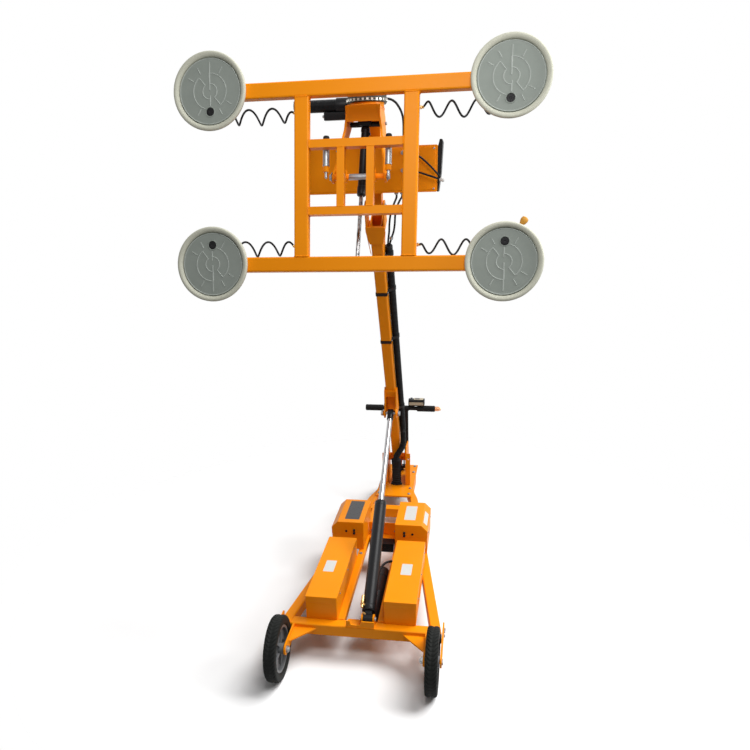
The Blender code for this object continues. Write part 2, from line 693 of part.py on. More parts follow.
def make_wheels(machine):
    half = WHEEL_WIDTH / 2
    shoulder = TYRE_SHOULDER
    seat = RIM_RADIUS + GAP
    tyre_profile = [(seat, half - 0.006), (seat + 0.012, half), (WHEEL_RADIUS - shoulder, half),
                    (WHEEL_RADIUS, half - shoulder), (WHEEL_RADIUS, shoulder - half),
                    (WHEEL_RADIUS - shoulder, -half), (seat + 0.012, -half), (seat, 0.006 - half)]
    bore = AXLE_RADIUS + GAP
    hub_half = half + 0.002
    flange = RIM_RADIUS - RIM_FLANGE
    web = RIM_WEB / 2
    rim_profile = [(bore, hub_half), (HUB_RADIUS, hub_half), (HUB_RADIUS, web), (flange, web),
                   (flange, half - 0.008), (RIM_RADIUS, half - 0.008), (RIM_RADIUS, 0.008 - half),
                   (flange, 0.008 - half), (flange, -web), (HUB_RADIUS, -web),
                   (HUB_RADIUS, -hub_half), (bore, -hub_half)]
    for side, sign in (("left", -1), ("right", 1)):
        spin = pivot(f"wheel_{side}_axis", machine, leaning(0, WHEEL_RADIUS, 0, sign * WHEEL_X))
        tyre = turned(f"tyre_{side}", tyre_profile, 36)
        show(tyre, RUBBER, spin)
        tyre.rotation_euler = (0, math.radians(90), 0)
        rim = turned(f"rim_{side}", rim_profile, 36)
        for i in range(RIM_WINDOWS):
            angle = 2 * math.pi * i / RIM_WINDOWS
            middle = (WINDOW_CIRCLE * math.cos(angle), WINDOW_CIRCLE * math.sin(angle))
            cut(rim, round_bar(f"window_{side}_{i}", WINDOW_RADIUS, (*middle, -RIM_WEB),
                               (*middle, RIM_WEB), 12))
        show(rim, RIM_GREY, spin)
        rim.rotation_euler = (0, math.radians(90), 0)


# Boom, with its lift cylinder's bracket and the hose sleeve

def make_boom(machine):
    axis = pivot("boom_axis", machine, leaning(BOOM_PIVOT_Y, BOOM_PIVOT_Z, BOOM_LEAN))
    boom = tube("boom", BOOM_WIDTH, BOOM_DEPTH, BOOM_WALL, BOOM_LENGTH)
    for vertex in boom.data.vertices:
        vertex.co.z -= BOOM_BELOW_PIVOT
    reach = CHEEK_X - GAP
    join(boom, round_bar("boom_boss", BOOM_BOSS_RADIUS, (-reach, 0, 0), (reach, 0, 0), 24))
    reach += 0.001
    cut(boom, round_bar("boom_bore", BOOM_PIN_RADIUS + GAP, (-reach, 0, 0), (reach, 0, 0), 24))
    show(boom, ORANGE, axis)

    outer = HEAD_CHEEK_X + HEAD_CHEEK_THICKNESS
    top = HEAD_PIVOT_UP + COLUMN_EYE
    wide = top - HEAD_CHEEK_LENGTH
    face = -BOOM_DEPTH / 2 - GAP
    fillet = BOOM_WIDTH / 2 + 0.004
    boom_end = BOOM_LENGTH - BOOM_BELOW_PIVOT
    outline = [(-fillet, wide - 0.070), (fillet, wide - 0.070), (outer, wide), (outer, boom_end),
               (-outer, boom_end), (-outer, wide)]
    head = slab("boom_head", [outline], "front", face - 0.010, face)
    for end, sign in (("left", -1), ("right", 1)):
        near, far = sorted((sign * HEAD_CHEEK_X, sign * outer))
        cheek_outline = [(face - 0.008, wide), (BOOM_DEPTH / 2 - 0.01, wide),
                         *arc((0, HEAD_PIVOT_UP), COLUMN_EYE, 0, 180, 10)]
        join(head, slab(f"head_cheek_{end}", [cheek_outline], "side", near + 0.0002, far - 0.0002))
        near, far = sorted((sign * (BOOM_WIDTH / 2 + GAP), sign * (HEAD_CHEEK_X + 0.002)))
        join(head, block(f"head_packing_{end}", (near, face - 0.006, wide + 0.004),
                         (far, BOOM_DEPTH / 2 - 0.014, boom_end - 0.030)))
    join(head, round_bar("head_pin", HEAD_PIN_RADIUS, (-outer - 0.008, 0, HEAD_PIVOT_UP),
                         (outer + 0.008, 0, HEAD_PIVOT_UP), 24))
    show(head, ORANGE, axis)

    make_rod_bracket(axis)
    side = BOOM_WIDTH / 2 + GAP + SLEEVE_RADIUS
    clear = BOOM_DEPTH / 2 + SLEEVE_RADIUS + 0.014
    third = (SLEEVE_TOP - SLEEVE_TURN) / 3
    points = [(side, SLEEVE_BACK, SLEEVE_TOP), (side, SLEEVE_BACK, SLEEVE_TOP - third),
              (side, SLEEVE_BACK, SLEEVE_TURN + third), (side, SLEEVE_BACK, SLEEVE_TURN),
              (side + 0.002, -0.014, 0.280),
              (side + 0.004, -0.048, 0.235), (side - 0.004, -0.074, 0.195),
              (side - 0.024, -clear, 0.155), (0.008, -clear - 0.002, 0.115), (0.0, -clear, 0.080),
              (0.0, -clear, 0.060)]
    show(hose("hose_sleeve", points, SLEEVE_RADIUS, 3), RUBBER, axis)
    return axis


def make_rod_bracket(axis):
    """Two lugs on the boom's sides and a web across its front, for the cylinder's rod."""
    face = -BOOM_DEPTH / 2
    inside = BOOM_WIDTH / 2 + GAP
    outside = inside + LUG_THICKNESS
    eye = (-ROD_PIVOT_OUT, ROD_PIVOT_UP)
    back = face + 0.024
    outline = [(back, ROD_PIVOT_UP - 0.070), (back, ROD_PIVOT_UP + 0.130),
               (face - 0.012, ROD_PIVOT_UP + 0.130), *arc(eye, LUG_RADIUS, 60, 270, 12)]
    web_low, web_high = ROD_PIVOT_UP + 0.080, ROD_PIVOT_UP + 0.124
    bracket = block("rod_bracket", (-inside - 0.003, face - 0.010, web_low),
                    (inside + 0.003, face - GAP, web_high))
    for end, sign in (("left", -1), ("right", 1)):
        near, far = sorted((sign * inside, sign * outside))
        join(bracket, slab(f"rod_lug_{end}", [outline], "side", near, far))
        join(bracket, round_bar(f"lug_head_{end}", LUG_HEAD_RADIUS,
                                (sign * (outside - 0.001), *eye),
                                (sign * (outside + LUG_HEAD_LENGTH), *eye), 16))
    show(bracket, ORANGE, axis)


def rod_pivot_place():
    """The rod's pivot in the machine's frame, from the boom's lean."""
    along = Matrix.Rotation(BOOM_LEAN, 4, "X") @ Vector((0, -ROD_PIVOT_OUT, ROD_PIVOT_UP))
    return Vector((0, BOOM_PIVOT_Y, BOOM_PIVOT_Z)) + along


def make_lift_cylinder(machine):
    foot = Vector((LIFT_FOOT_X, LIFT_FOOT_Y, LIFT_FOOT_Z))
    reach = rod_pivot_place() - foot
    turn = reach.to_track_quat("Z", "Y").to_matrix().to_4x4()
    axis = pivot("lift_barrel_axis", machine, Matrix.Translation(foot) @ turn)
    gland_bore = ROD_RADIUS + GAP
    profile = [(0, BARREL_FLOOR), (BARREL_BORE, BARREL_FLOOR),
               (BARREL_BORE, BARREL_END - GLAND_LENGTH), (gland_bore, BARREL_END - GLAND_LENGTH),
               (gland_bore, BARREL_END), (BARREL_RADIUS - 0.003, BARREL_END),
               (BARREL_RADIUS, BARREL_END - 0.003), (BARREL_RADIUS, BARREL_START + 0.003),
               (BARREL_RADIUS - 0.003, BARREL_START), (0, BARREL_START)]
    barrel = turned("lift_barrel", profile, 24)
    half = LIFT_EYE_WIDTH / 2
    join(barrel, round_bar("foot_eye", LIFT_EYE_RADIUS, (-half, 0, 0), (half, 0, 0)),
         block("foot_shank", (-half + 0.004, -0.014, 0.012), (half - 0.004, 0.014, BARREL_START + 0.004)))
    half += 0.001
    cut(barrel, round_bar("foot_bore", LIFT_PIN_RADIUS + EYE_PLAY, (-half, 0, 0), (half, 0, 0)))
    show(barrel, BLACK, axis)

    slide = pivot("lift_rod_axis", axis, in_machine[axis.name] @ Matrix.Translation((0, 0, reach.length)))
    inside = reach.length - BARREL_END + ROD_INSIDE
    piston = BARREL_BORE - GAP
    profile = [(0, -ROD_EYE_RADIUS * 0.6), (ROD_RADIUS, -ROD_EYE_RADIUS * 0.6),
               (ROD_RADIUS, PISTON_LENGTH - inside), (piston, PISTON_LENGTH - inside),
               (piston, -inside), (0, -inside)]
    rod = turned("lift_rod", profile, 20)
    half = ROD_EYE_WIDTH / 2
    join(rod, round_bar("rod_eye", ROD_EYE_RADIUS, (-half, 0, 0), (half, 0, 0)))
    half += 0.001
    cut(rod, round_bar("rod_bore", LIFT_PIN_RADIUS, (-half, 0, 0), (half, 0, 0)))
    show(rod, STEEL, slide)


# Head: carrier column, pump box and slewing drive

def make_head(machine, boom_axis):
    eye_y, eye_z = HEAD_PIVOT_Y, HEAD_PIVOT_Z
    axis = pivot("head_axis", boom_axis, leaning(eye_y, eye_z))
    front = -COLUMN_DEPTH / 2
    up = ARM_TOP - eye_z
    outline = [*arc((0, 0), COLUMN_EYE, 180, 360, 12), (front + COLUMN_DEPTH, 0.04),
               (front + COLUMN_DEPTH, up), (ARM_FRONT_Y - eye_y, up),
               (ARM_FRONT_Y - eye_y, up - ARM_THICKNESS), (front - 0.020, up - ARM_THICKNESS),
               (front, up - ARM_THICKNESS - 0.030)]
    bore = hole((0, 0), HEAD_PIN_RADIUS + GAP)
    half = COLUMN_WIDTH / 2
    column = slab("head_column", [outline, bore], "side", -half, half)
    rounding(column, 0.003)
    show(column, ORANGE, axis)

    box_back = front - GAP
    box_low = PUMP_BOX_BOTTOM - eye_z
    box_high = box_low + PUMP_BOX_HEIGHT
    box = block("pump_box", (-PUMP_BOX_HALF_WIDTH, box_back - PUMP_BOX_DEPTH, box_low),
                (PUMP_BOX_HALF_WIDTH, box_back, box_high), 0.004)
    show(box, ORANGE, axis)
    near = PUMP_BOX_HALF_WIDTH + GAP
    outline = [(near, box_low), (near + 0.006, box_low), (near + 0.016, box_low + 0.080),
               (near + 0.022, box_high + 0.010), (near + 0.018, box_high + 0.022),
               (near + 0.008, box_high + 0.022), (near, box_high - 0.010)]
    handle = slab("pump_handle", [outline], "front", box_back - PUMP_BOX_DEPTH + 0.010,
                  box_back - 0.012)
    show(handle, BLACK, axis)
    face = box_back - PUMP_BOX_DEPTH - GAP
    upper, lower = box_high - 0.029, box_high - 0.103
    far = PUMP_BOX_HALF_WIDTH + 0.031
    points = [(PUMP_LINE_X, face, upper), (PUMP_LINE_X, face - 0.010, upper),
              (PUMP_LINE_X + 0.015, face - 0.026, upper), (0.190, face - 0.034, upper - 0.014),
              (far - 0.071, face - 0.034, upper - 0.064), (far - 0.014, face - 0.030, upper - 0.106),
              (far, face - 0.030, upper - 0.120), (far - 0.014, face - 0.032, lower - 0.052),
              (far - 0.066, face - 0.034, lower - 0.026), (0.200, face - 0.034, lower - 0.004),
              (PUMP_LINE_X + 0.015, face - 0.026, lower), (PUMP_LINE_X, face - 0.010, lower),
              (PUMP_LINE_X, face, lower)]
    show(hose("pump_hose", points, PUMP_LINE_RADIUS), RUBBER, axis)

    housing_top = up - ARM_THICKNESS - GAP
    housing_low = housing_top - SLEW_HEIGHT
    slew_y = SLEW_Y - eye_y
    worm_y = slew_y + WORM_BACK
    motor_z = housing_top - SLEW_HEIGHT + 0.004
    housing = round_bar("slew_housing", SLEW_RADIUS, (0, slew_y, housing_low),
                        (0, slew_y, housing_top), 32)
    rounding(housing, 0.003)
    motor_y = worm_y + 0.005
    join(housing, block("worm_housing", (-WORM_HALF_LENGTH, worm_y - 0.024, housing_low + 0.0005),
                        (WORM_HALF_LENGTH - 0.02, worm_y + 0.034, housing_top - 0.0005)),
         round_bar("motor_flange", MOTOR_RADIUS + 0.005, (-WORM_HALF_LENGTH - 0.001, motor_y, motor_z),
                   (-WORM_HALF_LENGTH + 0.011, motor_y, motor_z), 20))
    show(housing, BLACK, axis)
    start = -WORM_HALF_LENGTH - 0.001 - GAP
    motor = turned("slew_motor", [(0, 0), (MOTOR_RADIUS, 0), (MOTOR_RADIUS, -0.060),
                                  (MOTOR_RADIUS * 0.86, -0.064), (MOTOR_RADIUS * 0.86, -0.190),
                                  (MOTOR_RADIUS, -0.194), (MOTOR_RADIUS, -MOTOR_LENGTH + 0.006),
                                  (MOTOR_RADIUS * 0.7, -MOTOR_LENGTH), (0, -MOTOR_LENGTH)], 20)
    show(motor, BLACK, axis, (start, motor_y, motor_z))
    motor.rotation_euler = (0, math.radians(90), 0)
    return axis, housing_low + eye_z


def yoke_arm_x(below_plate):
    """How far out the middle of a splayed arm lies at a depth under the yoke's plate."""
    return YOKE_TOP_HALF_WIDTH - YOKE_ARM / 2 - 0.001 + below_plate * math.tan(YOKE_SPLAY)


def make_yoke(head_axis, housing_low):
    """The part that turns under the slewing drive: flange, plates, splayed arms and tilt shaft."""
    axis = pivot("slew_axis", head_axis, leaning(SLEW_Y, housing_low))
    top = -GAP - YOKE_RING_HEIGHT
    yoke = round_bar("yoke", YOKE_RING_RADIUS, (0, 0, top - 0.002), (0, 0, -GAP), 28)
    front, back = YOKE_FRONT_Y - SLEW_Y, YOKE_BACK_Y - SLEW_Y
    half = YOKE_TOP_HALF_WIDTH
    plate_low = top - YOKE_PLATE
    join(yoke, block("yoke_top", (-half, front, plate_low), (half, back, top)))
    drop = top - YOKE_FRONT_DROP
    join(yoke, block("yoke_front", (-half - 0.004, front - 0.0005, drop),
                     (half + 0.004, front + 0.0085, top - 0.0005)))
    eye = (SHAFT_Y - SLEW_Y, SHAFT_Z - housing_low)
    outline = [(front - 0.001, plate_low + 0.004), (back - 0.010, plate_low + 0.004),
               (back - 0.010, plate_low - 0.030), (eye[0] + 0.060, eye[1] - 0.012),
               *arc(eye, ARM_EYE, -50, -200, 10), (front - 0.001, drop - 0.030)]
    for end, sign in (("left", -1), ("right", 1)):
        arm = slab(f"yoke_arm_{end}", [outline], "side", -YOKE_ARM / 2, YOKE_ARM / 2)
        splay = (Matrix.Translation((sign * yoke_arm_x(0), 0, plate_low))
                 @ Matrix.Rotation(-sign * YOKE_SPLAY, 4, "Y")
                 @ Matrix.Translation((0, 0, -plate_low)))
        arm.data.transform(splay)
        join(yoke, arm)
    join(yoke, round_bar("tilt_shaft", SHAFT_RADIUS, (-SHAFT_HALF_LENGTH, *eye),
                         (SHAFT_HALF_LENGTH, *eye)))
    show(yoke, ORANGE, axis)
    return axis


# Suction frame

def make_suction_frame(slew_axis):
    frame_place = leaning(FRAME_Y, FRAME_Z, FRAME_LEAN)
    shaft = frame_place.inverted() @ Vector((0, SHAFT_Y, SHAFT_Z))
    axis = pivot("tilt_axis", slew_axis, leaning(SHAFT_Y, SHAFT_Z, FRAME_LEAN))
    centre = -shaft                 # the frame's centre, seen from its tilt shaft
    back = FRAME_DEPTH / 2
    half_bar = FRAME_BAR / 2

    for level, sign in (("top", 1), ("bottom", -1)):
        beam = tube(f"frame_beam_{level}", FRAME_BAR, FRAME_DEPTH, TUBE_WALL, 2 * BEAM_HALF_LENGTH)
        beam.data.transform(Matrix.Rotation(math.radians(90), 4, "Y")
                            @ Matrix.Translation((0, 0, -BEAM_HALF_LENGTH)))
        if level == "bottom":
            for end, side in (("left", -1), ("right", 1)):
                near, far = sorted((side * TILT_LUG_GAP, side * (TILT_LUG_GAP + 0.006)))
                lug = [(back - 0.002, -0.016), *arc((back + TILT_EYE_BACK, 0), 0.016, -90, 90, 8),
                       (back - 0.002, 0.016)]
                join(beam, slab(f"tilt_lug_{end}", [lug], "side", near, far))
        show(beam, ORANGE, axis, centre + Vector((0, 0, sign * BEAM_UP)))

    post_half = BEAM_UP - half_bar - GAP
    for side, sign in (("left", -1), ("right", 1)):
        post = tube(f"frame_post_{side}", FRAME_BAR, FRAME_DEPTH, TUBE_WALL, 2 * post_half)
        show(post, ORANGE, axis, centre + Vector((sign * (POST_INNER_X + half_bar), 0, -post_half)))

    make_ladder(axis, centre, shaft)
    make_pads(axis, centre)
    return axis, centre


def make_ladder(axis, centre, shaft):
    """The ladder between the posts, with the tilt lugs and the locking pins' sleeves behind it."""
    back = FRAME_DEPTH / 2
    end = POST_INNER_X - GAP
    bar = LADDER_BAR / 2
    ladder_outer = [(-end, -LADDER_UP - bar), (end, -LADDER_UP - bar), (end, LADDER_UP + bar),
                    (-end, LADDER_UP + bar)]
    inner_low, inner_high = -LADDER_UP + bar, LADDER_UP - bar
    post = LADDER_POST_WIDTH / 2
    ladder = slab("frame_ladder", [ladder_outer], "front", -back, back)
    for i, (left, right) in enumerate(((-end - 0.01, -LADDER_POST_X - post),
                                       (-LADDER_POST_X + post, LADDER_POST_X - post),
                                       (LADDER_POST_X + post, end + 0.01))):
        cut(ladder, block(f"ladder_window_{i}", (left, -back - 0.01, inner_low),
                          (right, back + 0.01, inner_high)))
    lug = [(back - 0.003, shaft.z - 0.035), *arc((shaft.y, shaft.z), 0.022, -80, 80, 8),
           (back - 0.003, shaft.z + 0.035)]
    bore = hole((shaft.y, shaft.z), SHAFT_RADIUS + GAP)
    sleeve_top = LADDER_UP + bar + 0.003
    for side, sign in (("left", -1), ("right", 1)):
        near, far = sorted((sign * (LADDER_POST_X - 0.006), sign * (LADDER_POST_X + 0.008)))
        join(ladder, slab(f"shaft_lug_{side}", [lug, bore], "side", near, far))
        x, y = sign * LATCH_X, back + LATCH_SLEEVE_RADIUS - 0.003
        join(ladder, round_bar(f"latch_sleeve_{side}", LATCH_SLEEVE_RADIUS, (x, y, 0.030),
                               (x, y, sleeve_top), 16))
        cut(ladder, round_bar(f"latch_bore_{side}", LATCH_PIN_RADIUS + GAP, (x, y, 0.020),
                              (x, y, LADDER_UP + bar + 0.010), 16))
    show(ladder, ORANGE, axis, centre)

    low, high = 0.004, sleeve_top + GAP
    for side, sign in (("left", -1), ("right", 1)):
        place = centre + Vector((sign * LATCH_X, back + LATCH_SLEEVE_RADIUS - 0.003, 0))
        knob = LATCH_KNOB_RADIUS
        latch = turned(f"latch_{side}", [(0, high + 0.022), (knob * 0.7, high + 0.022),
                                         (knob, high + 0.016), (knob, high + 0.006),
                                         (knob * 0.6, high), (LATCH_PIN_RADIUS, high),
                                         (LATCH_PIN_RADIUS, low), (0, low)], 16)
        slide = pivot(f"latch_{side}_axis", axis, in_machine[axis.name] @ Matrix.Translation(place))
        show(latch, BLACK, slide)


def make_pads(axis, centre):
    """Four round suction pads, each with its port and elbow, and a spiral hose to the post."""
    back = FRAME_DEPTH / 2 + GAP
    front = back + PAD_DEPTH
    face = front - PAD_FACE_SUNK
    profile = [(0, face), (PAD_FACE_RADIUS, face), (PAD_RADIUS - 0.012, front),
               (PAD_RADIUS - 0.003, front), (PAD_RADIUS, front - 0.004),
               (PAD_RADIUS - 0.003, back + 0.007), (PAD_RADIUS - 0.010, back), (0, back)]
    stand = Matrix.Rotation(math.radians(-90), 4, "X")
    elbow_y = FRAME_DEPTH / 2 + 0.004
    post_x = POST_INNER_X + FRAME_BAR + GAP
    for level, up in (("top", 1), ("bottom", -1)):
        for side, out in (("left", -1), ("right", 1)):
            name = f"{level}_{side}"
            place = centre + Vector((out * PAD_X, 0, up * BEAM_UP))
            port = -up * PAD_PORT_DOWN
            pad = turned(f"pad_{name}", profile, 36)
            tail = -out * ELBOW_REACH
            join(pad, standing(round_bar(f"port_stub_{name}", ELBOW_RADIUS,
                                         (0, -back - 0.004, port), (0, elbow_y, port), 10), stand),
                 standing(round_bar(f"port_elbow_{name}", ELBOW_RADIUS,
                                    (-tail * 0.2, elbow_y, port), (tail, elbow_y, port), 10), stand))
            cut(pad, standing(round_bar(f"port_hole_{name}", PAD_PORT_RADIUS,
                                        (0, -face - 0.01, port), (0, -face + PAD_PORT_DEPTH, port),
                                        14), stand))
            show(pad, PAD_GREY, axis, place)
            pad.rotation_euler = (math.radians(90), 0, 0)
            start = Vector((out * post_x, elbow_y, up * (BEAM_UP - PAD_PORT_DOWN)))
            end = Vector((out * (PAD_X - ELBOW_REACH - GAP), elbow_y, start.z))
            lead = Vector((out * 0.025, 0, 0))
            middle = (start + end) / 2 - Vector((0, 0, COIL_SAG))
            coil = hose(f"vacuum_hose_{name}", [start, start + lead, middle, end - lead, end],
                        COIL_RADIUS, 3)
            show(coil, RUBBER, axis, centre)


def standing(obj, turn):
    """Turn a tool that was drawn upright into the frame of a pad, which is turned about X."""
    obj.data.transform(turn)
    return obj


# Actuator that tilts the suction frame

def make_tilt_actuator(slew_axis):
    frame_place = leaning(FRAME_Y, FRAME_Z, FRAME_LEAN)
    eye = frame_place @ Vector((0, FRAME_DEPTH / 2 + TILT_EYE_BACK, -BEAM_UP))
    top = Vector((0, TILT_TOP_Y, TILT_TOP_Z))
    reach = eye - top
    turn = reach.to_track_quat("Z", "Y").to_matrix().to_4x4()
    axis = pivot("tilt_barrel_axis", slew_axis, Matrix.Translation(top) @ turn)
    bore = TILT_ROD_RADIUS + GAP
    length = TILT_BARREL_LENGTH
    profile = [(0, 0.024), (bore, 0.024), (bore, length), (TILT_BARREL_RADIUS - 0.003, length),
               (TILT_BARREL_RADIUS, length - 0.003), (TILT_BARREL_RADIUS, 0.022),
               (0.012, 0.010), (0, 0.010)]
    barrel = turned("tilt_barrel", profile, 20)
    plate_low = ARM_TOP - ARM_THICKNESS - SLEW_HEIGHT - YOKE_RING_HEIGHT - YOKE_PLATE - 2 * GAP
    below = plate_low - TILT_TOP_Z - TILT_TRUNNION_RADIUS
    half = yoke_arm_x(below) - YOKE_ARM / 2 / math.cos(YOKE_SPLAY) - GAP
    join(barrel, round_bar("trunnion", TILT_TRUNNION_RADIUS, (-half, 0, 0), (half, 0, 0)),
         round_bar("trunnion_neck", 0.014, (0, 0, 0), (0, 0, 0.016)))
    show(barrel, BLACK, axis)

    slide = pivot("tilt_rod_axis", axis, in_machine[axis.name] @ Matrix.Translation((0, 0, reach.length)))
    inside = reach.length - length + 0.060
    rod = turned("tilt_rod", [(0, -0.008), (TILT_ROD_RADIUS, -0.008), (TILT_ROD_RADIUS, -inside),
                              (0, -inside)], 16)
    half = TILT_LUG_GAP - 0.002
    join(rod, round_bar("tilt_eye", TILT_EYE_RADIUS, (-half, 0, 0), (half, 0, 0)))
    half += 0.001
    cut(rod, round_bar("tilt_eye_bore", 0.006, (-half, 0, 0), (half, 0, 0), 12))
    show(rod, STEEL, slide)


# Rear drive unit and tiller

def make_drive(machine):
    steer = pivot("steer_axis", machine, leaning(DRIVE_Y, 0))
    disc_top = FRAME_TOP
    disc_low = disc_top - DRIVE_DISC_HEIGHT
    housing = round_bar("drive_housing", DRIVE_DISC_RADIUS, (0, 0, disc_low), (0, 0, disc_top), 28)
    plate_x = DRIVE_WIDTH / 2 + 0.004
    for end, sign in (("left", -1), ("right", 1)):
        near, far = sorted((sign * plate_x, sign * (plate_x + 0.008)))
        outline = [(-0.045, disc_low + 0.002), *arc((0, DRIVE_RADIUS), 0.028, 180, 360, 10),
                   (0.045, disc_low + 0.002)]
        join(housing, slab(f"drive_fork_{end}", [outline], "side", near, far))
    join(housing, round_bar("drive_axle", 0.010, (-plate_x - 0.012, 0, DRIVE_RADIUS),
                            (plate_x + 0.012, 0, DRIVE_RADIUS)))
    neck_top = FRAME_TOP + FOOT_PLATE_THICKNESS + 0.030
    join(housing, round_bar("steer_shaft", STEER_SHAFT_RADIUS, (0, 0, disc_top - 0.002),
                            (0, 0, neck_top), 24))
    eye_x = TILLER_WIDTH / 2 + GAP
    wall = 0.008
    join(housing, block("tiller_seat", (-0.020, -0.0195, neck_top - 0.010),
                        (TILLER_X + eye_x + wall, 0.0195, neck_top + 0.008)))
    ear = [(-0.019, neck_top), (0.019, neck_top), *arc((0, TILLER_PIVOT_Z), 0.019, 0, 180, 10)]
    for end, sign in (("left", -1), ("right", 1)):
        near, far = sorted((TILLER_X + sign * eye_x, TILLER_X + sign * (eye_x + wall)))
        join(housing, slab(f"tiller_ear_{end}", [ear], "side", near + 0.0001, far - 0.0001))
    reach = eye_x + wall + 0.005
    join(housing, round_bar("tiller_pin", TILLER_PIN_RADIUS, (TILLER_X - reach, 0, TILLER_PIVOT_Z),
                            (TILLER_X + reach, 0, TILLER_PIVOT_Z)))
    show(housing, BLACK, steer)

    spin = pivot("drive_wheel_axis", steer, leaning(DRIVE_Y, DRIVE_RADIUS))
    half = DRIVE_WIDTH / 2
    bore = 0.010 + GAP
    wheel = turned("drive_wheel", [(bore, half), (DRIVE_RADIUS - 0.008, half),
                                   (DRIVE_RADIUS, half - 0.008), (DRIVE_RADIUS, 0.008 - half),
                                   (DRIVE_RADIUS - 0.008, -half), (bore, -half)], 32)
    show(wheel, RUBBER, spin)
    wheel.rotation_euler = (0, math.radians(90), 0)
    make_tiller(steer)


def make_tiller(steer):
    tilt = pivot("tiller_axis", steer, leaning(DRIVE_Y, TILLER_PIVOT_Z, 0, TILLER_X))
    bar_y, bar_z = TILLER_BAR_Y - DRIVE_Y, TILLER_BAR_Z - TILLER_PIVOT_Z
    half = TILLER_WIDTH / 2
    column = slab("tiller_column", [[*arc((0, 0), 0.017, 180, 360, 10), (0.016, 0.10),
                                     (bar_y + 0.012, bar_z - 0.0155), (bar_y - 0.012, bar_z - 0.0155),
                                     (-0.018, 0.10)],
                                    hole((0, 0), TILLER_PIN_RADIUS + GAP)],
                  "side", -half, half)
    clamp = TILLER_BAR_RADIUS + 0.005
    join(column, round_bar("bar_clamp", clamp, (-half, bar_y, bar_z), (half, bar_y, bar_z)))
    reach = half + 0.001
    cut(column, round_bar("bar_seat", TILLER_BAR_RADIUS + GAP, (-reach, bar_y, bar_z),
                          (reach, bar_y, bar_z)))
    show(column, BLACK, tilt)

    left, right = -TILLER_BAR_LEFT - TILLER_X, TILLER_BAR_RIGHT - TILLER_X
    bar = turned("tiller_bar", [(0, right + 0.040), (0.008, right + 0.040), (0.008, right),
                                (GRIP_RADIUS, right), (GRIP_RADIUS, right - GRIP_LENGTH),
                                (TILLER_BAR_RADIUS, right - GRIP_LENGTH),
                                (TILLER_BAR_RADIUS, left + GRIP_LENGTH),
                                (GRIP_RADIUS, left + GRIP_LENGTH), (GRIP_RADIUS, left), (0, left)], 16)
    show(bar, RUBBER, tilt, (0, bar_y, bar_z))
    bar.rotation_euler = (0, math.radians(90), 0)

    low = bar_z + GRIP_RADIUS + 0.006
    instrument_left = half + 0.004
    box = block("instrument", (instrument_left, bar_y - INSTRUMENT_DEPTH / 2, low),
                (instrument_left + INSTRUMENT_WIDTH, bar_y + INSTRUMENT_DEPTH / 2,
                 low + INSTRUMENT_HEIGHT), 0.004)
    saddle_x = instrument_left + 0.012
    join(box, block("instrument_neck", (instrument_left + 0.002, bar_y - 0.012,
                                        bar_z + TILLER_BAR_RADIUS + GAP),
                    (saddle_x + 0.030, bar_y + 0.012, low + 0.002)))
    button_x = instrument_left + BUTTON_INSET
    top = low + INSTRUMENT_HEIGHT
    cut(box, round_bar("button_well", BUTTON_RADIUS + GAP, (button_x, bar_y, top - BUTTON_WELL),
                       (button_x, bar_y, top + 0.002), 16))
    show(box, BLACK, tilt)
    make_controls(tilt, bar_y, bar_z, left, button_x, top)


def make_controls(tilt, bar_y, bar_z, bar_left, button_x, instrument_top):
    """The thumb throttle beside the left grip and the button on the instrument."""
    place = in_machine[tilt.name] @ Matrix.Translation((bar_left + GRIP_LENGTH + 0.014, bar_y, bar_z))
    turn = pivot("throttle_axis", tilt, place)
    ring = arc((0, 0), 0.021, 100, 400, 16)
    lever = slab("throttle", [[*ring, (0.012, THROTTLE_LENGTH), (-0.006, THROTTLE_LENGTH)],
                              hole((0, 0), TILLER_BAR_RADIUS + GAP)], "side", -0.009, 0.009)
    show(lever, BLACK, turn)
    place = in_machine[tilt.name] @ Matrix.Translation((button_x, bar_y, instrument_top + GAP))
    press = pivot("button_axis", tilt, place)
    foot = BUTTON_TRAVEL + GAP - BUTTON_WELL
    button = round_bar("horn_button", BUTTON_RADIUS, (0, 0, foot), (0, 0, BUTTON_TRAVEL + 0.004), 16)
    show(button, BLACK, press)


def make_lifter():
    machine = pivot("machine", None, Matrix.Translation((0, 0, 0)))
    machine.location = (0, -CENTRE_Y, 0)
    make_front_beam(machine)
    make_side_rails(machine)
    make_inner_rails(machine)
    make_cross_members(machine)
    make_mast_foot(machine)
    make_wheel_carriers(machine)
    make_boxes(machine)
    make_hydraulic_unit(machine)
    make_cylinder_saddle(machine)
    make_wheels(machine)
    boom_axis = make_boom(machine)
    make_lift_cylinder(machine)
    head_axis, housing_low = make_head(machine, boom_axis)
    slew_axis = make_yoke(head_axis, housing_low)
    make_suction_frame(slew_axis)
    make_tilt_actuator(slew_axis)
    make_drive(machine)


make_lifter()
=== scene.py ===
"""The looks of an electric vacuum glass lifter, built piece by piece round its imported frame."""
import json
import math

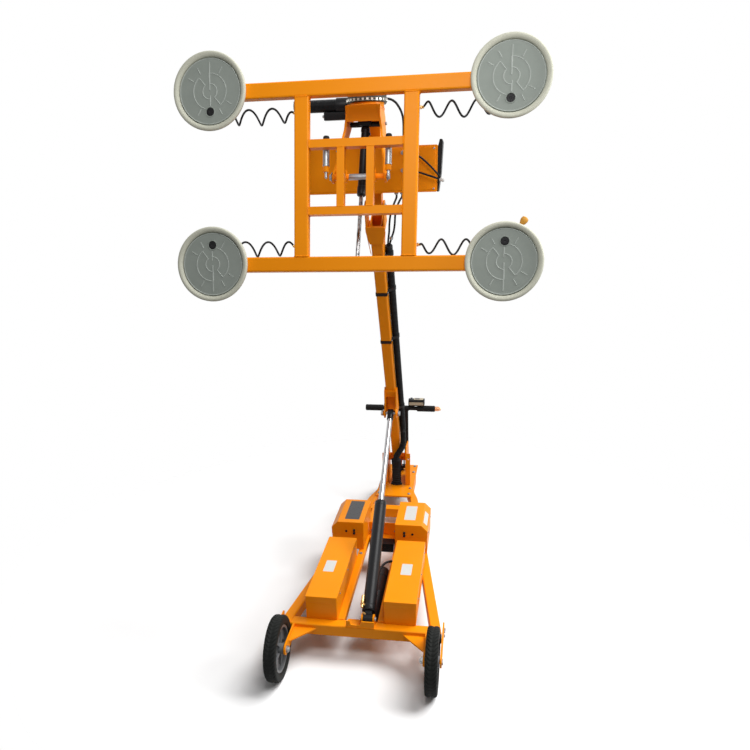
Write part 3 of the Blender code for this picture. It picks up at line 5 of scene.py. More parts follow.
import bmesh
import bpy
import numpy as np
from mathutils import Vector
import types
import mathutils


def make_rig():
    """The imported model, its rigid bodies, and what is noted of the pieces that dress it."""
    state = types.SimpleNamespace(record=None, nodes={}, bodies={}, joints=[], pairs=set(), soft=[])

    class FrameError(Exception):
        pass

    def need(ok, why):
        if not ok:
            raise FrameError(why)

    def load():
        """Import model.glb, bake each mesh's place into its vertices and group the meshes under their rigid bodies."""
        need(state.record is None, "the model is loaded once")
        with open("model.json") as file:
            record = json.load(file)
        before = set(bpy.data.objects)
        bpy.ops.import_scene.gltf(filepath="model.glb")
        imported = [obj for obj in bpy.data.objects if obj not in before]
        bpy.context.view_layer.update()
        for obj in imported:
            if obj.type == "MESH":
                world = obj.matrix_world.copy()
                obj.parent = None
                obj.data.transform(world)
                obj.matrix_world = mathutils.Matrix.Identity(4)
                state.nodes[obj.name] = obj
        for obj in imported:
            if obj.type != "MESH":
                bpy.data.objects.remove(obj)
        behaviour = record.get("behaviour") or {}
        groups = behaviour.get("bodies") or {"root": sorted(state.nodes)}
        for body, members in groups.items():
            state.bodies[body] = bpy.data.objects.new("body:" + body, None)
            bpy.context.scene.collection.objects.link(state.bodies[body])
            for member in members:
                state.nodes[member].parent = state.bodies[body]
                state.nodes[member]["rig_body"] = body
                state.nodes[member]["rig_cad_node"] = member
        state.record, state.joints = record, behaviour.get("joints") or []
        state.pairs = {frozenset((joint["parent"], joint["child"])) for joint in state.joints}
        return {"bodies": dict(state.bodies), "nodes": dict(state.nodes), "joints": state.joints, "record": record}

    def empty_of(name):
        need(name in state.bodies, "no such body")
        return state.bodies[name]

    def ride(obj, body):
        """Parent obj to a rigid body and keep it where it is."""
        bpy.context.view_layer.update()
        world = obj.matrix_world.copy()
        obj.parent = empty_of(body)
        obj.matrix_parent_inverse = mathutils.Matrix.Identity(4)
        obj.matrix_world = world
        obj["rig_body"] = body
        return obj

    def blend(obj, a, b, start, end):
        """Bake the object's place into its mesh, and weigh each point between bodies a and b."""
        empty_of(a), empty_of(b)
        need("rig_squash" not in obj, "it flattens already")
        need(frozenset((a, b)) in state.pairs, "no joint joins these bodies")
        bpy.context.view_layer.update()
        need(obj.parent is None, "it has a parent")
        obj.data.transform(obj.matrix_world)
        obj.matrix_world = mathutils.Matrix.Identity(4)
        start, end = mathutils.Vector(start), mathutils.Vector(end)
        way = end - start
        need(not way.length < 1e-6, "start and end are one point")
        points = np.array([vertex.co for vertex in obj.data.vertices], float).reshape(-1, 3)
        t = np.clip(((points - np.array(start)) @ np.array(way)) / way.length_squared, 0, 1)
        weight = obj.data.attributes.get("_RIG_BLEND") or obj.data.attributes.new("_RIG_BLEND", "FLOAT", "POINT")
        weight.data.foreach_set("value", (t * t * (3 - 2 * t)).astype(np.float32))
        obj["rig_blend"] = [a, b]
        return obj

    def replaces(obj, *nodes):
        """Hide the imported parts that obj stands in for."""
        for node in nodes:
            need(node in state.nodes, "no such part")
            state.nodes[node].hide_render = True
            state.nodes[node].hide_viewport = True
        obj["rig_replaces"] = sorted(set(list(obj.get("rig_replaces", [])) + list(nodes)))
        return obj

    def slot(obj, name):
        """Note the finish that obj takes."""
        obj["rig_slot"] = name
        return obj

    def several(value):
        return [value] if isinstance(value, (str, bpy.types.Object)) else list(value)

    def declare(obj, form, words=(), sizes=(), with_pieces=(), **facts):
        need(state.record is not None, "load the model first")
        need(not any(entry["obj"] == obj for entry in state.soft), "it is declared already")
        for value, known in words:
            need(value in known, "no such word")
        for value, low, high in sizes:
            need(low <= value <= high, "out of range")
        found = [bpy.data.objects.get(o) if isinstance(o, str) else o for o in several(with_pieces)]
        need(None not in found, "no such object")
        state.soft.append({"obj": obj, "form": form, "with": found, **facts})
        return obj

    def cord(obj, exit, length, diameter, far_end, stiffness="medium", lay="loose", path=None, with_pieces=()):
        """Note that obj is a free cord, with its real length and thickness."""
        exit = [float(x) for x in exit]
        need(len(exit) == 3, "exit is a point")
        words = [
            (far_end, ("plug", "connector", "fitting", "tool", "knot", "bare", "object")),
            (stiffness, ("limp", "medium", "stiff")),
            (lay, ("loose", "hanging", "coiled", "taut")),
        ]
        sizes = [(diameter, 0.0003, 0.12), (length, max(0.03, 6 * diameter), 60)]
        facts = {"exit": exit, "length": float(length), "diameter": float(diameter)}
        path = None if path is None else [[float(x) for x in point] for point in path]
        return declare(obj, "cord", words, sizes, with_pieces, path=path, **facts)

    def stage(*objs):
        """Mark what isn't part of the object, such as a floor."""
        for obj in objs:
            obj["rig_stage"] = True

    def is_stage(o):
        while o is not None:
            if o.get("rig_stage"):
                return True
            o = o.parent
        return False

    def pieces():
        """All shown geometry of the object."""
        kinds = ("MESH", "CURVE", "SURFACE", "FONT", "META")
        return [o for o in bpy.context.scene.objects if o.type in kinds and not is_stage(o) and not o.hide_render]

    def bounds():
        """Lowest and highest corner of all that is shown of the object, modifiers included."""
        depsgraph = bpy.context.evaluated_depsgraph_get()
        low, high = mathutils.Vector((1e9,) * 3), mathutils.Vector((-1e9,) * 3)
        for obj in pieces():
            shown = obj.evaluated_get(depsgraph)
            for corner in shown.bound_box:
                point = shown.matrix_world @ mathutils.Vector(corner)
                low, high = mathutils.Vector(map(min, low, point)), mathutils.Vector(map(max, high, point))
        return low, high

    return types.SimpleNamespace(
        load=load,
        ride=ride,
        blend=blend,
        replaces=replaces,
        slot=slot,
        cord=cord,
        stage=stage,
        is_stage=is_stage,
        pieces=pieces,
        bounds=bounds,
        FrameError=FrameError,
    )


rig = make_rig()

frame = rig.load()
cad_low, cad_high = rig.bounds()


# The place where the machine is photographed: a white sheet under it and behind it, a strong soft
# lamp high on the right, a small one before the suction frame, one beside it, and a dim sky. The
# camera stands to the right of the pads at the height of a raised arm and looks down.

camera_data = bpy.data.cameras.new("camera")
camera_data.lens = 33.12
camera_data.shift_x = 0.02655
camera_data.shift_y = 0.10059
camera = bpy.data.objects.new("camera", camera_data)
camera.location = (0.48799, -3.55855, 2.18485)
camera.rotation_euler = [math.radians(a) for a in (68.4776, 1.5840, 9.4367)]
bpy.context.scene.collection.objects.link(camera)
bpy.context.scene.camera = camera
bpy.context.scene.view_settings.view_transform = "Standard"


def soft_sun(name, direction, strength, spread):
    """A sun whose light comes from a direction, softened over an angle in degrees."""
    data = bpy.data.lights.new(name, "SUN")
    data.energy = strength
    data.angle = math.radians(spread)
    lamp = bpy.data.objects.new(name, data)
    lamp.rotation_euler = Vector(direction).to_track_quat("Z", "Y").to_euler()
    bpy.context.scene.collection.objects.link(lamp)


def soft_lamp(name, place, target, size, power):
    """A square lamp at a place, turned towards a target."""
    data = bpy.data.lights.new(name, "AREA")
    data.size = size
    data.energy = power
    lamp = bpy.data.objects.new(name, data)
    lamp.location = place
    lamp.rotation_euler = (Vector(place) - Vector(target)).to_track_quat("Z", "Y").to_euler()
    bpy.context.scene.collection.objects.link(lamp)


soft_sun("high_lamp", (0.42, 0.26, 0.87), 2.9, 34)
soft_lamp("frame_lamp", (0.5, -2.3, 3.5), (0, -0.6, 2.2), 1.2, 38)
soft_lamp("side_lamp", (2.7, -0.7, 2.7), (0, -0.6, 2.1), 1.0, 48)


class Signal:
    """One socket in a material's node tree; arithmetic on it adds Math nodes."""

    def __init__(self, tree, socket=None):
        self.tree = tree
        self.socket = socket

    def node(self, kind, inputs=None, output=0, **settings):
        """Add a node: its settings first, then the value or link of each of its sockets."""
        made = self.tree.nodes.new(kind)
        for name, value in settings.items():
            setattr(made, name, value)
        for name, value in (inputs or {}).items():
            if isinstance(value, Signal):
                self.tree.links.new(value.socket, made.inputs[name])
            else:
                made.inputs[name].default_value = value
        return Signal(self.tree, made.outputs[output])

    def maths(self, operation, first, second=0.0):
        """A Math node that does one operation on two values."""
        return self.node("ShaderNodeMath", {0: first, 1: second}, operation=operation)

    def __add__(self, other):
        return self.maths("ADD", self, other)

    __radd__ = __add__

    def __sub__(self, other):
        return self.maths("SUBTRACT", self, other)

    def __rsub__(self, other):
        return self.maths("SUBTRACT", other, self)

    def __mul__(self, other):
        return self.maths("MULTIPLY", self, other)

    __rmul__ = __mul__

    def __gt__(self, other):
        return self.maths("GREATER_THAN", self, other)

    def __pow__(self, other):
        return self.maths("POWER", self, other)

    def blend(self, low, high):
        """A colour that goes from low to high as this value goes from 0 to 1."""
        inputs = {0: self, 6: low, 7: high}
        return self.node("ShaderNodeMix", inputs, output=2, data_type="RGBA")


def finish_of(name, colour, roughness, metallic=0.0, gloss=0.5):
    """A new material: its start signal, its shader and the material itself."""
    made = bpy.data.materials.new(name)
    made.use_nodes = True
    shader = made.node_tree.nodes["Principled BSDF"]
    shader.inputs["Base Color"].default_value = (*colour, 1.0)
    shader.inputs["Roughness"].default_value = roughness
    shader.inputs["Metallic"].default_value = metallic
    shader.inputs["Specular IOR Level"].default_value = gloss
    return Signal(made.node_tree), shader, made


def wire(signal, shader, **sockets):
    """Feed the shader's named sockets, with underscores for spaces in their names."""
    for name, value in sockets.items():
        signal.tree.links.new(value.socket, shader.inputs[name.replace("_", " ")])


def seen_rays(start):
    """One for rays that show a thing: straight to the camera, mirrored or through glass."""
    glance = start.node("ShaderNodeLightPath")
    mirrored = start.node("ShaderNodeLightPath", output=3)
    through = start.node("ShaderNodeLightPath", output=6)
    return start.maths("MAXIMUM", start.maths("MAXIMUM", glance, mirrored), through)


SHEET_BACK = 0.1
SHEET_SOLID = 1.5
SHEET_FADE = 0.8
SHEET_RADIUS = 2.6
start, shader, white_sheet = finish_of("white_sheet", (0.96, 0.96, 0.96), 1.0)
where = start.node("ShaderNodeTexCoord", output=3)
far = start.node("ShaderNodeVectorMath", {0: where, 1: (0, SHEET_BACK, 0)}, output=1,
                 operation="DISTANCE")
fading = (SHEET_SOLID + SHEET_FADE - far) * (1 / SHEET_FADE)
wire(start, shader, Alpha=start.maths("SMOOTH_MIN", fading, 1.0),
     Base_Color=seen_rays(start).blend((0.50, 0.50, 0.50, 1), (0.96, 0.96, 0.96, 1)))

around = np.linspace(0, 2 * np.pi, 64, endpoint=False)
sheet = np.stack([SHEET_RADIUS * np.cos(around), SHEET_BACK + SHEET_RADIUS * np.sin(around), 0 * around], 1)
floor_mesh = bpy.data.meshes.new("floor")
floor_mesh.from_pydata(sheet.tolist(), [], [list(range(len(sheet)))])
floor_mesh.materials.append(white_sheet)
floor = bpy.data.objects.new("floor", floor_mesh)
bpy.context.scene.collection.objects.link(floor)
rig.stage(floor)

sky = bpy.data.worlds.new("sky")
sky.use_nodes = True
sky_start = Signal(sky.node_tree)
background = sky.node_tree.nodes["Background"]
shown = seen_rays(sky_start)
sky.node_tree.links.new((0.15 + shown * 0.85).socket, background.inputs["Strength"])
background.inputs["Color"].default_value = (1, 1, 1, 1)
bpy.context.scene.world = sky


# The four spiral vacuum hoses between the posts and the pads. Each is a limp black rubber tube,
# wound in three open turns that sag a little, and pushed onto a ribbed brass nipple that is
# screwed into the side of a post.

FRAME_ORIGIN = (0, -0.607, 2.189)
FRAME_LEAN = -13.6


def grid(points, closed_u=False, closed_v=True, capped=True):
    """Vertices and faces of a grid of points: quads join neighbours, each end row is one face."""
    points = np.asarray(points, float)
    rows, columns = points.shape[:2]
    index = np.arange(rows * columns).reshape(rows, columns)
    low = index if closed_u else index[:-1]
    high = np.roll(index, -1, 0) if closed_u else index[1:]
    corners = [low, np.roll(low, -1, 1), np.roll(high, -1, 1), high]
    if not closed_v:
        corners = [low[:, :-1], low[:, 1:], high[:, 1:], high[:, :-1]]
    faces = np.stack(corners, -1).reshape(-1, 4).tolist()
    if capped and closed_v and not closed_u:
        faces += [index[0, ::-1].tolist(), index[-1].tolist()]
    return points.reshape(-1, 3), faces


def sweep(path, radius, sides=10):
    """A round tube: a circle square to the path at each point, turned as little as may be."""
    path = np.asarray(path, float)
    along = np.gradient(path, axis=0)
    along /= np.linalg.norm(along, axis=1, keepdims=True)
    side = [np.cross(along[0], np.eye(3)[np.argmin(np.abs(along[0]))])]
    for direction in along:
        square = side[-1] - direction * (side[-1] @ direction)
        side.append(square / np.linalg.norm(square))
    side = np.array(side[1:])
    up = np.cross(side, along)
    angle = np.linspace(0, 2 * np.pi, sides, endpoint=False)[None, :, None]
    radius = np.broadcast_to(radius, len(path))[:, None, None]
    return grid(path[:, None] + radius * (np.cos(angle) * side[:, None] + np.sin(angle) * up[:, None]))


def lathe(profile, origin=(0, 0, 0), axis=(0, 0, 1), steps=48, ring=False):
    """A turned shape: each radius and height goes round the axis; a ring's profile closes."""
    axis = np.asarray(axis, float) / np.linalg.norm(axis)
    first = np.cross(axis, np.eye(3)[np.argmin(np.abs(axis))])
    first /= np.linalg.norm(first)
    second = np.cross(axis, first)
    angle = np.linspace(0, 2 * np.pi, steps, endpoint=False)
    radius, height = np.asarray(profile, float).T
    circle = np.cos(angle)[:, None] * first + np.sin(angle)[:, None] * second
    points = np.asarray(origin, float) + height[:, None, None] * axis + radius[:, None, None] * circle
    return grid(points, closed_u=ring)


def smooth_path(points, count):
    """A Catmull-Rom curve through the points: four weights of its parameter times four points."""
    given = np.asarray(points, float)
    given = np.vstack([2 * given[0] - given[1], given, 2 * given[-1] - given[-2]])
    t = np.linspace(0, len(given) - 3 - 1e-9, count)
    i = t.astype(int)
    t = (t - i)[:, None]
    p0, p1, p2, p3 = given[i], given[i + 1], given[i + 2], given[i + 3]
    return 0.5 * (2 * p1 + (p2 - p0) * t + (2 * p0 - 5 * p1 + 4 * p2 - p3) * t ** 2
                  + (3 * p1 - p0 - 3 * p2 + p3) * t ** 3)


def placed(points, origin, lean):
    """Points turned about X by an angle in degrees and moved to an origin."""
    a = math.radians(lean)
    turn = np.array([[1, 0, 0], [0, math.cos(a), -math.sin(a)], [0, math.sin(a), math.cos(a)]])
    return np.asarray(points, float) @ turn.T + np.asarray(origin, float)


def in_place(shapes, origin, lean):
    """The same shapes, turned about X and moved."""
    return [(placed(points, origin, lean), faces) for points, faces in shapes]


def build(name, shapes, finish, body, slot, *stands_for, bevel=0.0):
    """One piece from several shapes, on a body if one is named, in place of the CAD nodes named."""
    vertices, faces, offset = [], [], 0
    for points, some in shapes:
        vertices.append(points)
        faces += [[i + offset for i in face] for face in some]
        offset += len(points)
    mesh = bpy.data.meshes.new(name)
    mesh.from_pydata(np.vstack(vertices).tolist(), [], faces)
    shell = bmesh.new()
    shell.from_mesh(mesh)
    bmesh.ops.recalc_face_normals(shell, faces=shell.faces)
    shell.to_mesh(mesh)
    shell.free()
    mesh.shade_smooth()
    mesh.set_sharp_from_angle(angle=math.radians(32))
    mesh.materials.append(finish)
    piece = bpy.data.objects.new(name, mesh)
    bpy.context.scene.collection.objects.link(piece)
    if bevel:
        edge = piece.modifiers.new("edges", "BEVEL")
        edge.width = bevel
        edge.segments = 2
        edge.harden_normals = True
    if body:
        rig.ride(piece, body)
    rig.slot(piece, slot)
    if stands_for:
        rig.replaces(piece, *stands_for)
    return piece


def on_frame(name, shapes, finish, slot, *stands_for, bevel=0.0):
    """A piece of the suction frame: its shapes are drawn upright and lean with the frame."""
    leaning = in_place(shapes, FRAME_ORIGIN, FRAME_LEAN)
    return build(name, leaning, finish, "suction_frame", slot, *stands_for, bevel=bevel)


def length_of(path):
    """A path's length: the sum of its steps."""
    return float(np.linalg.norm(np.diff(path, axis=0), axis=1).sum())


def rubber(name, colour, roughness, dust):
    """Moulded rubber: a slightly cloudy colour, a fine pebbled skin and patches of pale dust."""
    start, shader, made = finish_of(name, colour, roughness, gloss=0.10)
    where = start.node("ShaderNodeTexCoord", output=3)
    cloud = start.node("ShaderNodeTexNoise", {"Vector": where, "Scale": 14.0, "Detail": 5.0})
    pebble = start.node("ShaderNodeTexNoise", {"Vector": where, "Scale": 900.0, "Detail": 2.0})
    pale = tuple(c + dust * (0.5 - c) for c in colour)
    wire(start, shader, Base_Color=(cloud ** 2.0).blend((*colour, 1), (*pale, 1)),
         Roughness=roughness - 0.12 + cloud * 0.24,
         Normal=start.node("ShaderNodeBump", {"Height": pebble, "Strength": 0.12, "Distance": 0.0004}))
    return made


def bare_metal(name, dark, light, roughness, scale):
    """Bare or plated metal: its colour and its shine change a little from place to place."""
    start, shader, made = finish_of(name, light, roughness, 1.0)
    where = start.node("ShaderNodeTexCoord", output=3)
    cloud = start.node("ShaderNodeTexNoise", {"Vector": where, "Scale": scale, "Detail": 4.0})
    fine = start.node("ShaderNodeTexNoise", {"Vector": where, "Scale": 12 * scale, "Detail": 2.0})
    wire(start, shader, Base_Color=cloud.blend((*dark, 1), (*light, 1)),
         Roughness=roughness - 0.08 + cloud * 0.16,
         Normal=start.node("ShaderNodeBump", {"Height": fine, "Strength": 0.05, "Distance": 0.0002}))
    return made


hose_rubber = rubber("hose_rubber", (0.010, 0.010, 0.011), 0.46, 0.03)
brass = bare_metal("brass", (0.42, 0.27, 0.10), (0.72, 0.50, 0.21), 0.28, 160)

HOSE_RADIUS = 0.0042
COIL_RADIUS = 0.0292
COIL_START = 0.262
COIL_END = 0.556
COIL_TURNS = 3.0
COIL_BACK = 0.024
COIL_UP = 0.263
COIL_SAG = 0.012
COIL_TAPER = 0.12
COIL_FIRST_TURN = {1: 0.9, -1: 2.4}
POST_FACE = 0.2512
t = np.linspace(0, 1, 181)
swell = COIL_RADIUS * np.sin(np.pi / 2 * np.clip(np.minimum(t, 1 - t) / COIL_TAPER, 0, 1))
nipples = []
for level, up in (("top", 1), ("bottom", -1)):
    for side, out in (("left", -1), ("right", 1)):
        turn = 2 * np.pi * COIL_TURNS * t + COIL_FIRST_TURN[out * up]
        coil = np.stack([out * (COIL_START + (COIL_END - COIL_START) * t),
                         COIL_BACK + swell * np.cos(turn),
                         up * COIL_UP - 4 * COIL_SAG * t * (1 - t) + swell * np.sin(turn)], 1)
        route = placed(coil, FRAME_ORIGIN, FRAME_LEAN)
        spiral = build(f"spiral_hose_{level}_{side}", [sweep(route, HOSE_RADIUS, 12)], hose_rubber,
                       "suction_frame", "hose_rubber", f"vacuum_hose_{level}_{side}")
        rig.cord(spiral, exit=route[0], length=length_of(route), diameter=2 * HOSE_RADIUS,
                far_end="object", stiffness="limp", lay="hanging", path=route)
        post_side = (out * POST_FACE, COIL_BACK, up * COIL_UP)
        nipples += [lathe([(0.0072, 0), (0.0075, 0.0006), (0.0075, 0.0054), (0.0070, 0.006)],
                          post_side, (out, 0, 0), 6),
                    lathe([(0.0052, 0.006), (0.0058, 0.009), (0.0046, 0.0095), (0.0056, 0.0125),
                           (0.0036, 0.016)], post_side, (out, 0, 0), 24)]
on_frame("post_nipples", nipples, brass, "chrome_rod")


# The thin vacuum line on the front of the pump box: two black hoses that leave zinc-plated
# elbows in its panel and meet in a white push-in elbow beyond the box's right end.

zinc = bare_metal("zinc_plate", (0.19, 0.20, 0.21), (0.38, 0.39, 0.40), 0.42, 90)
white_plastic = rubber("white_plastic", (0.62, 0.62, 0.60), 0.38, 0.02)

PUMP_FACE = -0.2060
PUMP_LINE_RADIUS = 0.0042
ELBOW_OUT = 0.020
ELBOW_REACH = 0.016
LINE_X = 0.150
LINE_TIP = np.array([0.3320, PUMP_FACE - 0.031, 2.1665])
pump_lines = {
    "upper": smooth_path([(LINE_X + ELBOW_REACH, PUMP_FACE - ELBOW_OUT, 2.286),
                          (0.195, PUMP_FACE - 0.022, 2.2830), (0.228, PUMP_FACE - 0.026, 2.2660),
                          (0.261, PUMP_FACE - 0.029, 2.2400), (0.295, PUMP_FACE - 0.031, 2.2070),
                          (0.3245, PUMP_FACE - 0.031, 2.1745)], 60),
    "lower": smooth_path([(LINE_X + ELBOW_REACH, PUMP_FACE - ELBOW_OUT, 2.212),
                          (0.190, PUMP_FACE - 0.022, 2.2105), (0.220, PUMP_FACE - 0.026, 2.2035),
                          (0.249, PUMP_FACE - 0.029, 2.1945), (0.285, PUMP_FACE - 0.031, 2.1825),
                          (0.3210, PUMP_FACE - 0.031, 2.1700)], 60)}
elbow = [lathe([(0.0035, -0.0075), (0.0068, -0.0055), (0.0078, 0), (0.0068, 0.0055), (0.0035, 0.0075)],
               LINE_TIP, (0, 1, 0), 32)]
panel_elbows = []
for route in pump_lines.values():
    inward = (LINE_TIP - route[-1]) / np.linalg.norm(LINE_TIP - route[-1])
    elbow.append(lathe([(0.0045, -0.004), (0.0062, -0.0035), (0.0066, -0.001), (0.0066, 0.006),
                        (0.0040, 0.008)], route[-1], inward, 28))
    seat = np.array([LINE_X, PUMP_FACE, route[0, 2]])
    bend = smooth_path([(0, 0, 0), (0, -0.008, 0), (0.0015, -0.0150, 0), (0.0060, -ELBOW_OUT + 0.0008, 0),
                        (0.0110, -ELBOW_OUT, 0), (ELBOW_REACH, -ELBOW_OUT, 0)], 30) + seat
    panel_elbows += [sweep(bend, 0.0056, 20),
                     lathe([(0.0090, 0.0002), (0.0096, 0.0008), (0.0096, 0.0050), (0.0088, 0.0056)],
                           seat, (0, -1, 0), 6),
                     lathe([(0.0062, -0.0030), (0.0072, -0.0022), (0.0072, 0.0030), (0.0050, 0.0040)],
                           route[0], (1, 0, 0), 28)]
line_elbow = build("pump_line_elbow", elbow, white_plastic, "head", "hose_rubber")
build("pump_panel_elbows", panel_elbows, zinc, "head", "chrome_rod")
upper_line, lower_line = [build(f"pump_line_{level}", [sweep(route, PUMP_LINE_RADIUS, 12)], hose_rubber,
                                "head", "hose_rubber") for level, route in pump_lines.items()]
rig.replaces(upper_line, "pump_hose")
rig.cord(upper_line, exit=pump_lines["upper"][0], length=length_of(pump_lines["upper"]),
        diameter=2 * PUMP_LINE_RADIUS, far_end="fitting", stiffness="medium", lay="hanging",
        path=pump_lines["upper"], with_pieces=[line_elbow])
way_back = pump_lines["lower"][::-1]
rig.cord(lower_line, exit=way_back[0], length=length_of(way_back), diameter=2 * PUMP_LINE_RADIUS,
        far_end="object", stiffness="medium", lay="hanging", path=way_back)


# The oil hose leaves the right battery box sideways, bends forward under the lift cylinder and
# drops onto the tank. It is black rubber, and a crimped, zinc-plated ferrule holds each end.

OIL_LINE_RADIUS = 0.0065
OIL_FROM, OIL_TO = np.array([0.1127, -0.340, 0.262]), np.array([0.0417, -0.550, 0.1863])
OIL_OUT, OIL_RISE = 0.088, 0.088
t = np.linspace(0, 1, 90)[:, None]
oil_route = ((1 - t) ** 3 * OIL_FROM + 3 * (1 - t) ** 2 * t * (OIL_FROM - (OIL_OUT, 0, 0))
             + 3 * (1 - t) * t ** 2 * (OIL_TO + (0, 0, OIL_RISE)) + t ** 3 * OIL_TO)
oil_line = build("oil_line", [sweep(oil_route, OIL_LINE_RADIUS, 16)], hose_rubber, "chassis",
                 "hose_rubber", "hydraulic_hose")
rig.cord(oil_line, exit=oil_route[0], length=length_of(oil_route), diameter=2 * OIL_LINE_RADIUS,
        far_end="object", stiffness="medium", lay="hanging", path=oil_route)


def ferrule(place, axis, radius, length):
    """A swaged sleeve: a profile with three crimped rings between two plain ends, on a hexagon."""
    s = np.linspace(0, 1, 25)
    crimp = radius * (1.35 - 0.13 * np.clip(np.sin(2 * np.pi * 3 * s - 0.6), 0, 1))
    sleeve = [(radius * 1.02, 0.26 * length)] + list(zip(crimp, (0.26 + 0.74 * s) * length))
    sleeve += [(radius * 1.02, length)]
    nut = [(radius * 1.5, 0), (radius * 1.6, 0.03 * length), (radius * 1.6, 0.22 * length),
           (radius * 1.5, 0.26 * length)]
    return [lathe(sleeve, place, axis, 28), lathe(nut, place, axis, 6)]


build("oil_line_ferrules", ferrule(oil_route[0], (-1, 0, 0), OIL_LINE_RADIUS, 0.009)
      + ferrule(oil_route[-1], (0, 0, 1), OIL_LINE_RADIUS, 0.016), zinc, "chassis", "chrome_rod")


# The four suction pads. Each is one moulding of grey rubber on a steel disc, with raised lines
# that keep the sheet off the face, a port under a round filter, and a soft cream lip round it.
# They're bolted to the fronts of the two beams' ends.

PAD_X = 0.598
PAD_UP = 0.341
PAD_FACE = 0.0343
PORT_DOWN = 0.078


def lip_rubber():
    """Cream rubber that has greyed at random and picked up fine dark specks."""
    start, shader, made = finish_of("lip_rubber", (0.54, 0.54, 0.48), 0.60, gloss=0.25)
    where = start.node("ShaderNodeTexCoord", output=3)
    cloud = start.node("ShaderNodeTexNoise", {"Vector": where, "Scale": 30.0, "Detail": 6.0})
    specks = start.node("ShaderNodeTexNoise", {"Vector": where, "Scale": 600.0, "Detail": 1.0})
    wire(start, shader, Base_Color=(cloud * 0.8 + (specks > 0.68) * 0.2).blend((0.56, 0.56, 0.46, 1),
                                                                             (0.46, 0.46, 0.38, 1)),
         Roughness=0.48 + cloud * 0.16,
         Normal=start.node("ShaderNodeBump", {"Height": cloud, "Strength": 0.1, "Distance": 0.0005}))
    return made


def face_rubber():
    """Grey-green rubber with a painted highlight: the raised lines are coloured paler, and chalky clouds lie between
    them.
    """
    start, shader, made = finish_of("face_rubber", (0.36, 0.40, 0.36), 0.6, gloss=0.25)
    where = start.node("ShaderNodeTexCoord", output=3)
    line = start.node("ShaderNodeAttribute", output=2, attribute_name="line")
    cloud = start.node("ShaderNodeTexNoise", {"Vector": where, "Scale": 24.0, "Detail": 6.0})
    grain = start.node("ShaderNodeTexNoise", {"Vector": where, "Scale": 1400.0, "Detail": 1.0})
    tone = cloud.blend((0.235, 0.262, 0.235, 1), (0.285, 0.312, 0.282, 1))
    # The raised lines' mask lightens the colour: a painted highlight along their tops.
    wire(start, shader, Base_Color=(line * 0.85).blend(tone, (0.44, 0.47, 0.44, 1)),
         Roughness=0.66 - line * 0.16 + cloud * 0.1,
         Normal=start.node("ShaderNodeBump", {"Height": grain, "Strength": 0.1, "Distance": 0.0003}))
    return made


def ridge(offset, half_width=0.0013):
    """One on a line and nearly nothing a few half widths away from it."""
    return 1 / (1 + (offset / half_width) ** 4)


def pad_face(turned):
    """The face's height over polar coordinates: raised lines, a sunk port and an edge groove."""
    radius = np.linspace(0.0015, 0.1318, 132)[:, None]
    angle = np.linspace(0, 2 * np.pi, 420, endpoint=False)[None]
    x, z = radius * np.sin(angle), radius * np.cos(angle)
    spoke = radius * np.sin((angle + np.pi / 12) % (np.pi / 6) - np.pi / 12)
    gap_width = math.radians(38)
    skew = (angle + math.radians(40)) % np.pi
    gap = skew < gap_width
    bridge = np.minimum(np.abs(radius * np.sin(skew)), np.abs(radius * np.sin(skew - gap_width)))
    tick = ((radius > 0.077) & (radius < 0.104) & (np.abs(x) > 0.02) & (np.abs(z) > 0.02)
            & ((x * z < 0) | (np.abs(x) < np.abs(z))))
    lines = [ridge(radius - 0.0300) * ~gap, ridge(radius - 0.069) * ~gap, ridge(radius - 0.1256, 0.0014),
             ridge(bridge) * (radius > 0.030) * (radius < 0.069), ridge(spoke) * tick,
             ridge(x, 0.0015) * (z > 0.004) * (radius < 0.112),
             ridge(x - 0.002) * (z < -0.016) * (z > -0.056)]
    raised = np.maximum.reduce([np.broadcast_to(line, x.shape) for line in lines])
    to_port = np.hypot(x, z + PORT_DOWN)
    raised = raised * (to_port > 0.022)
    groove = np.clip((radius - 0.1272) / 0.0008, 0, 1)
    sunk = np.clip((0.0190 - to_port) / 0.0016, 0, 1)
    height = PAD_FACE + 0.0019 * raised - 0.0055 * sunk - 0.0042 * groove
    return turned * x, turned * z, height, raised


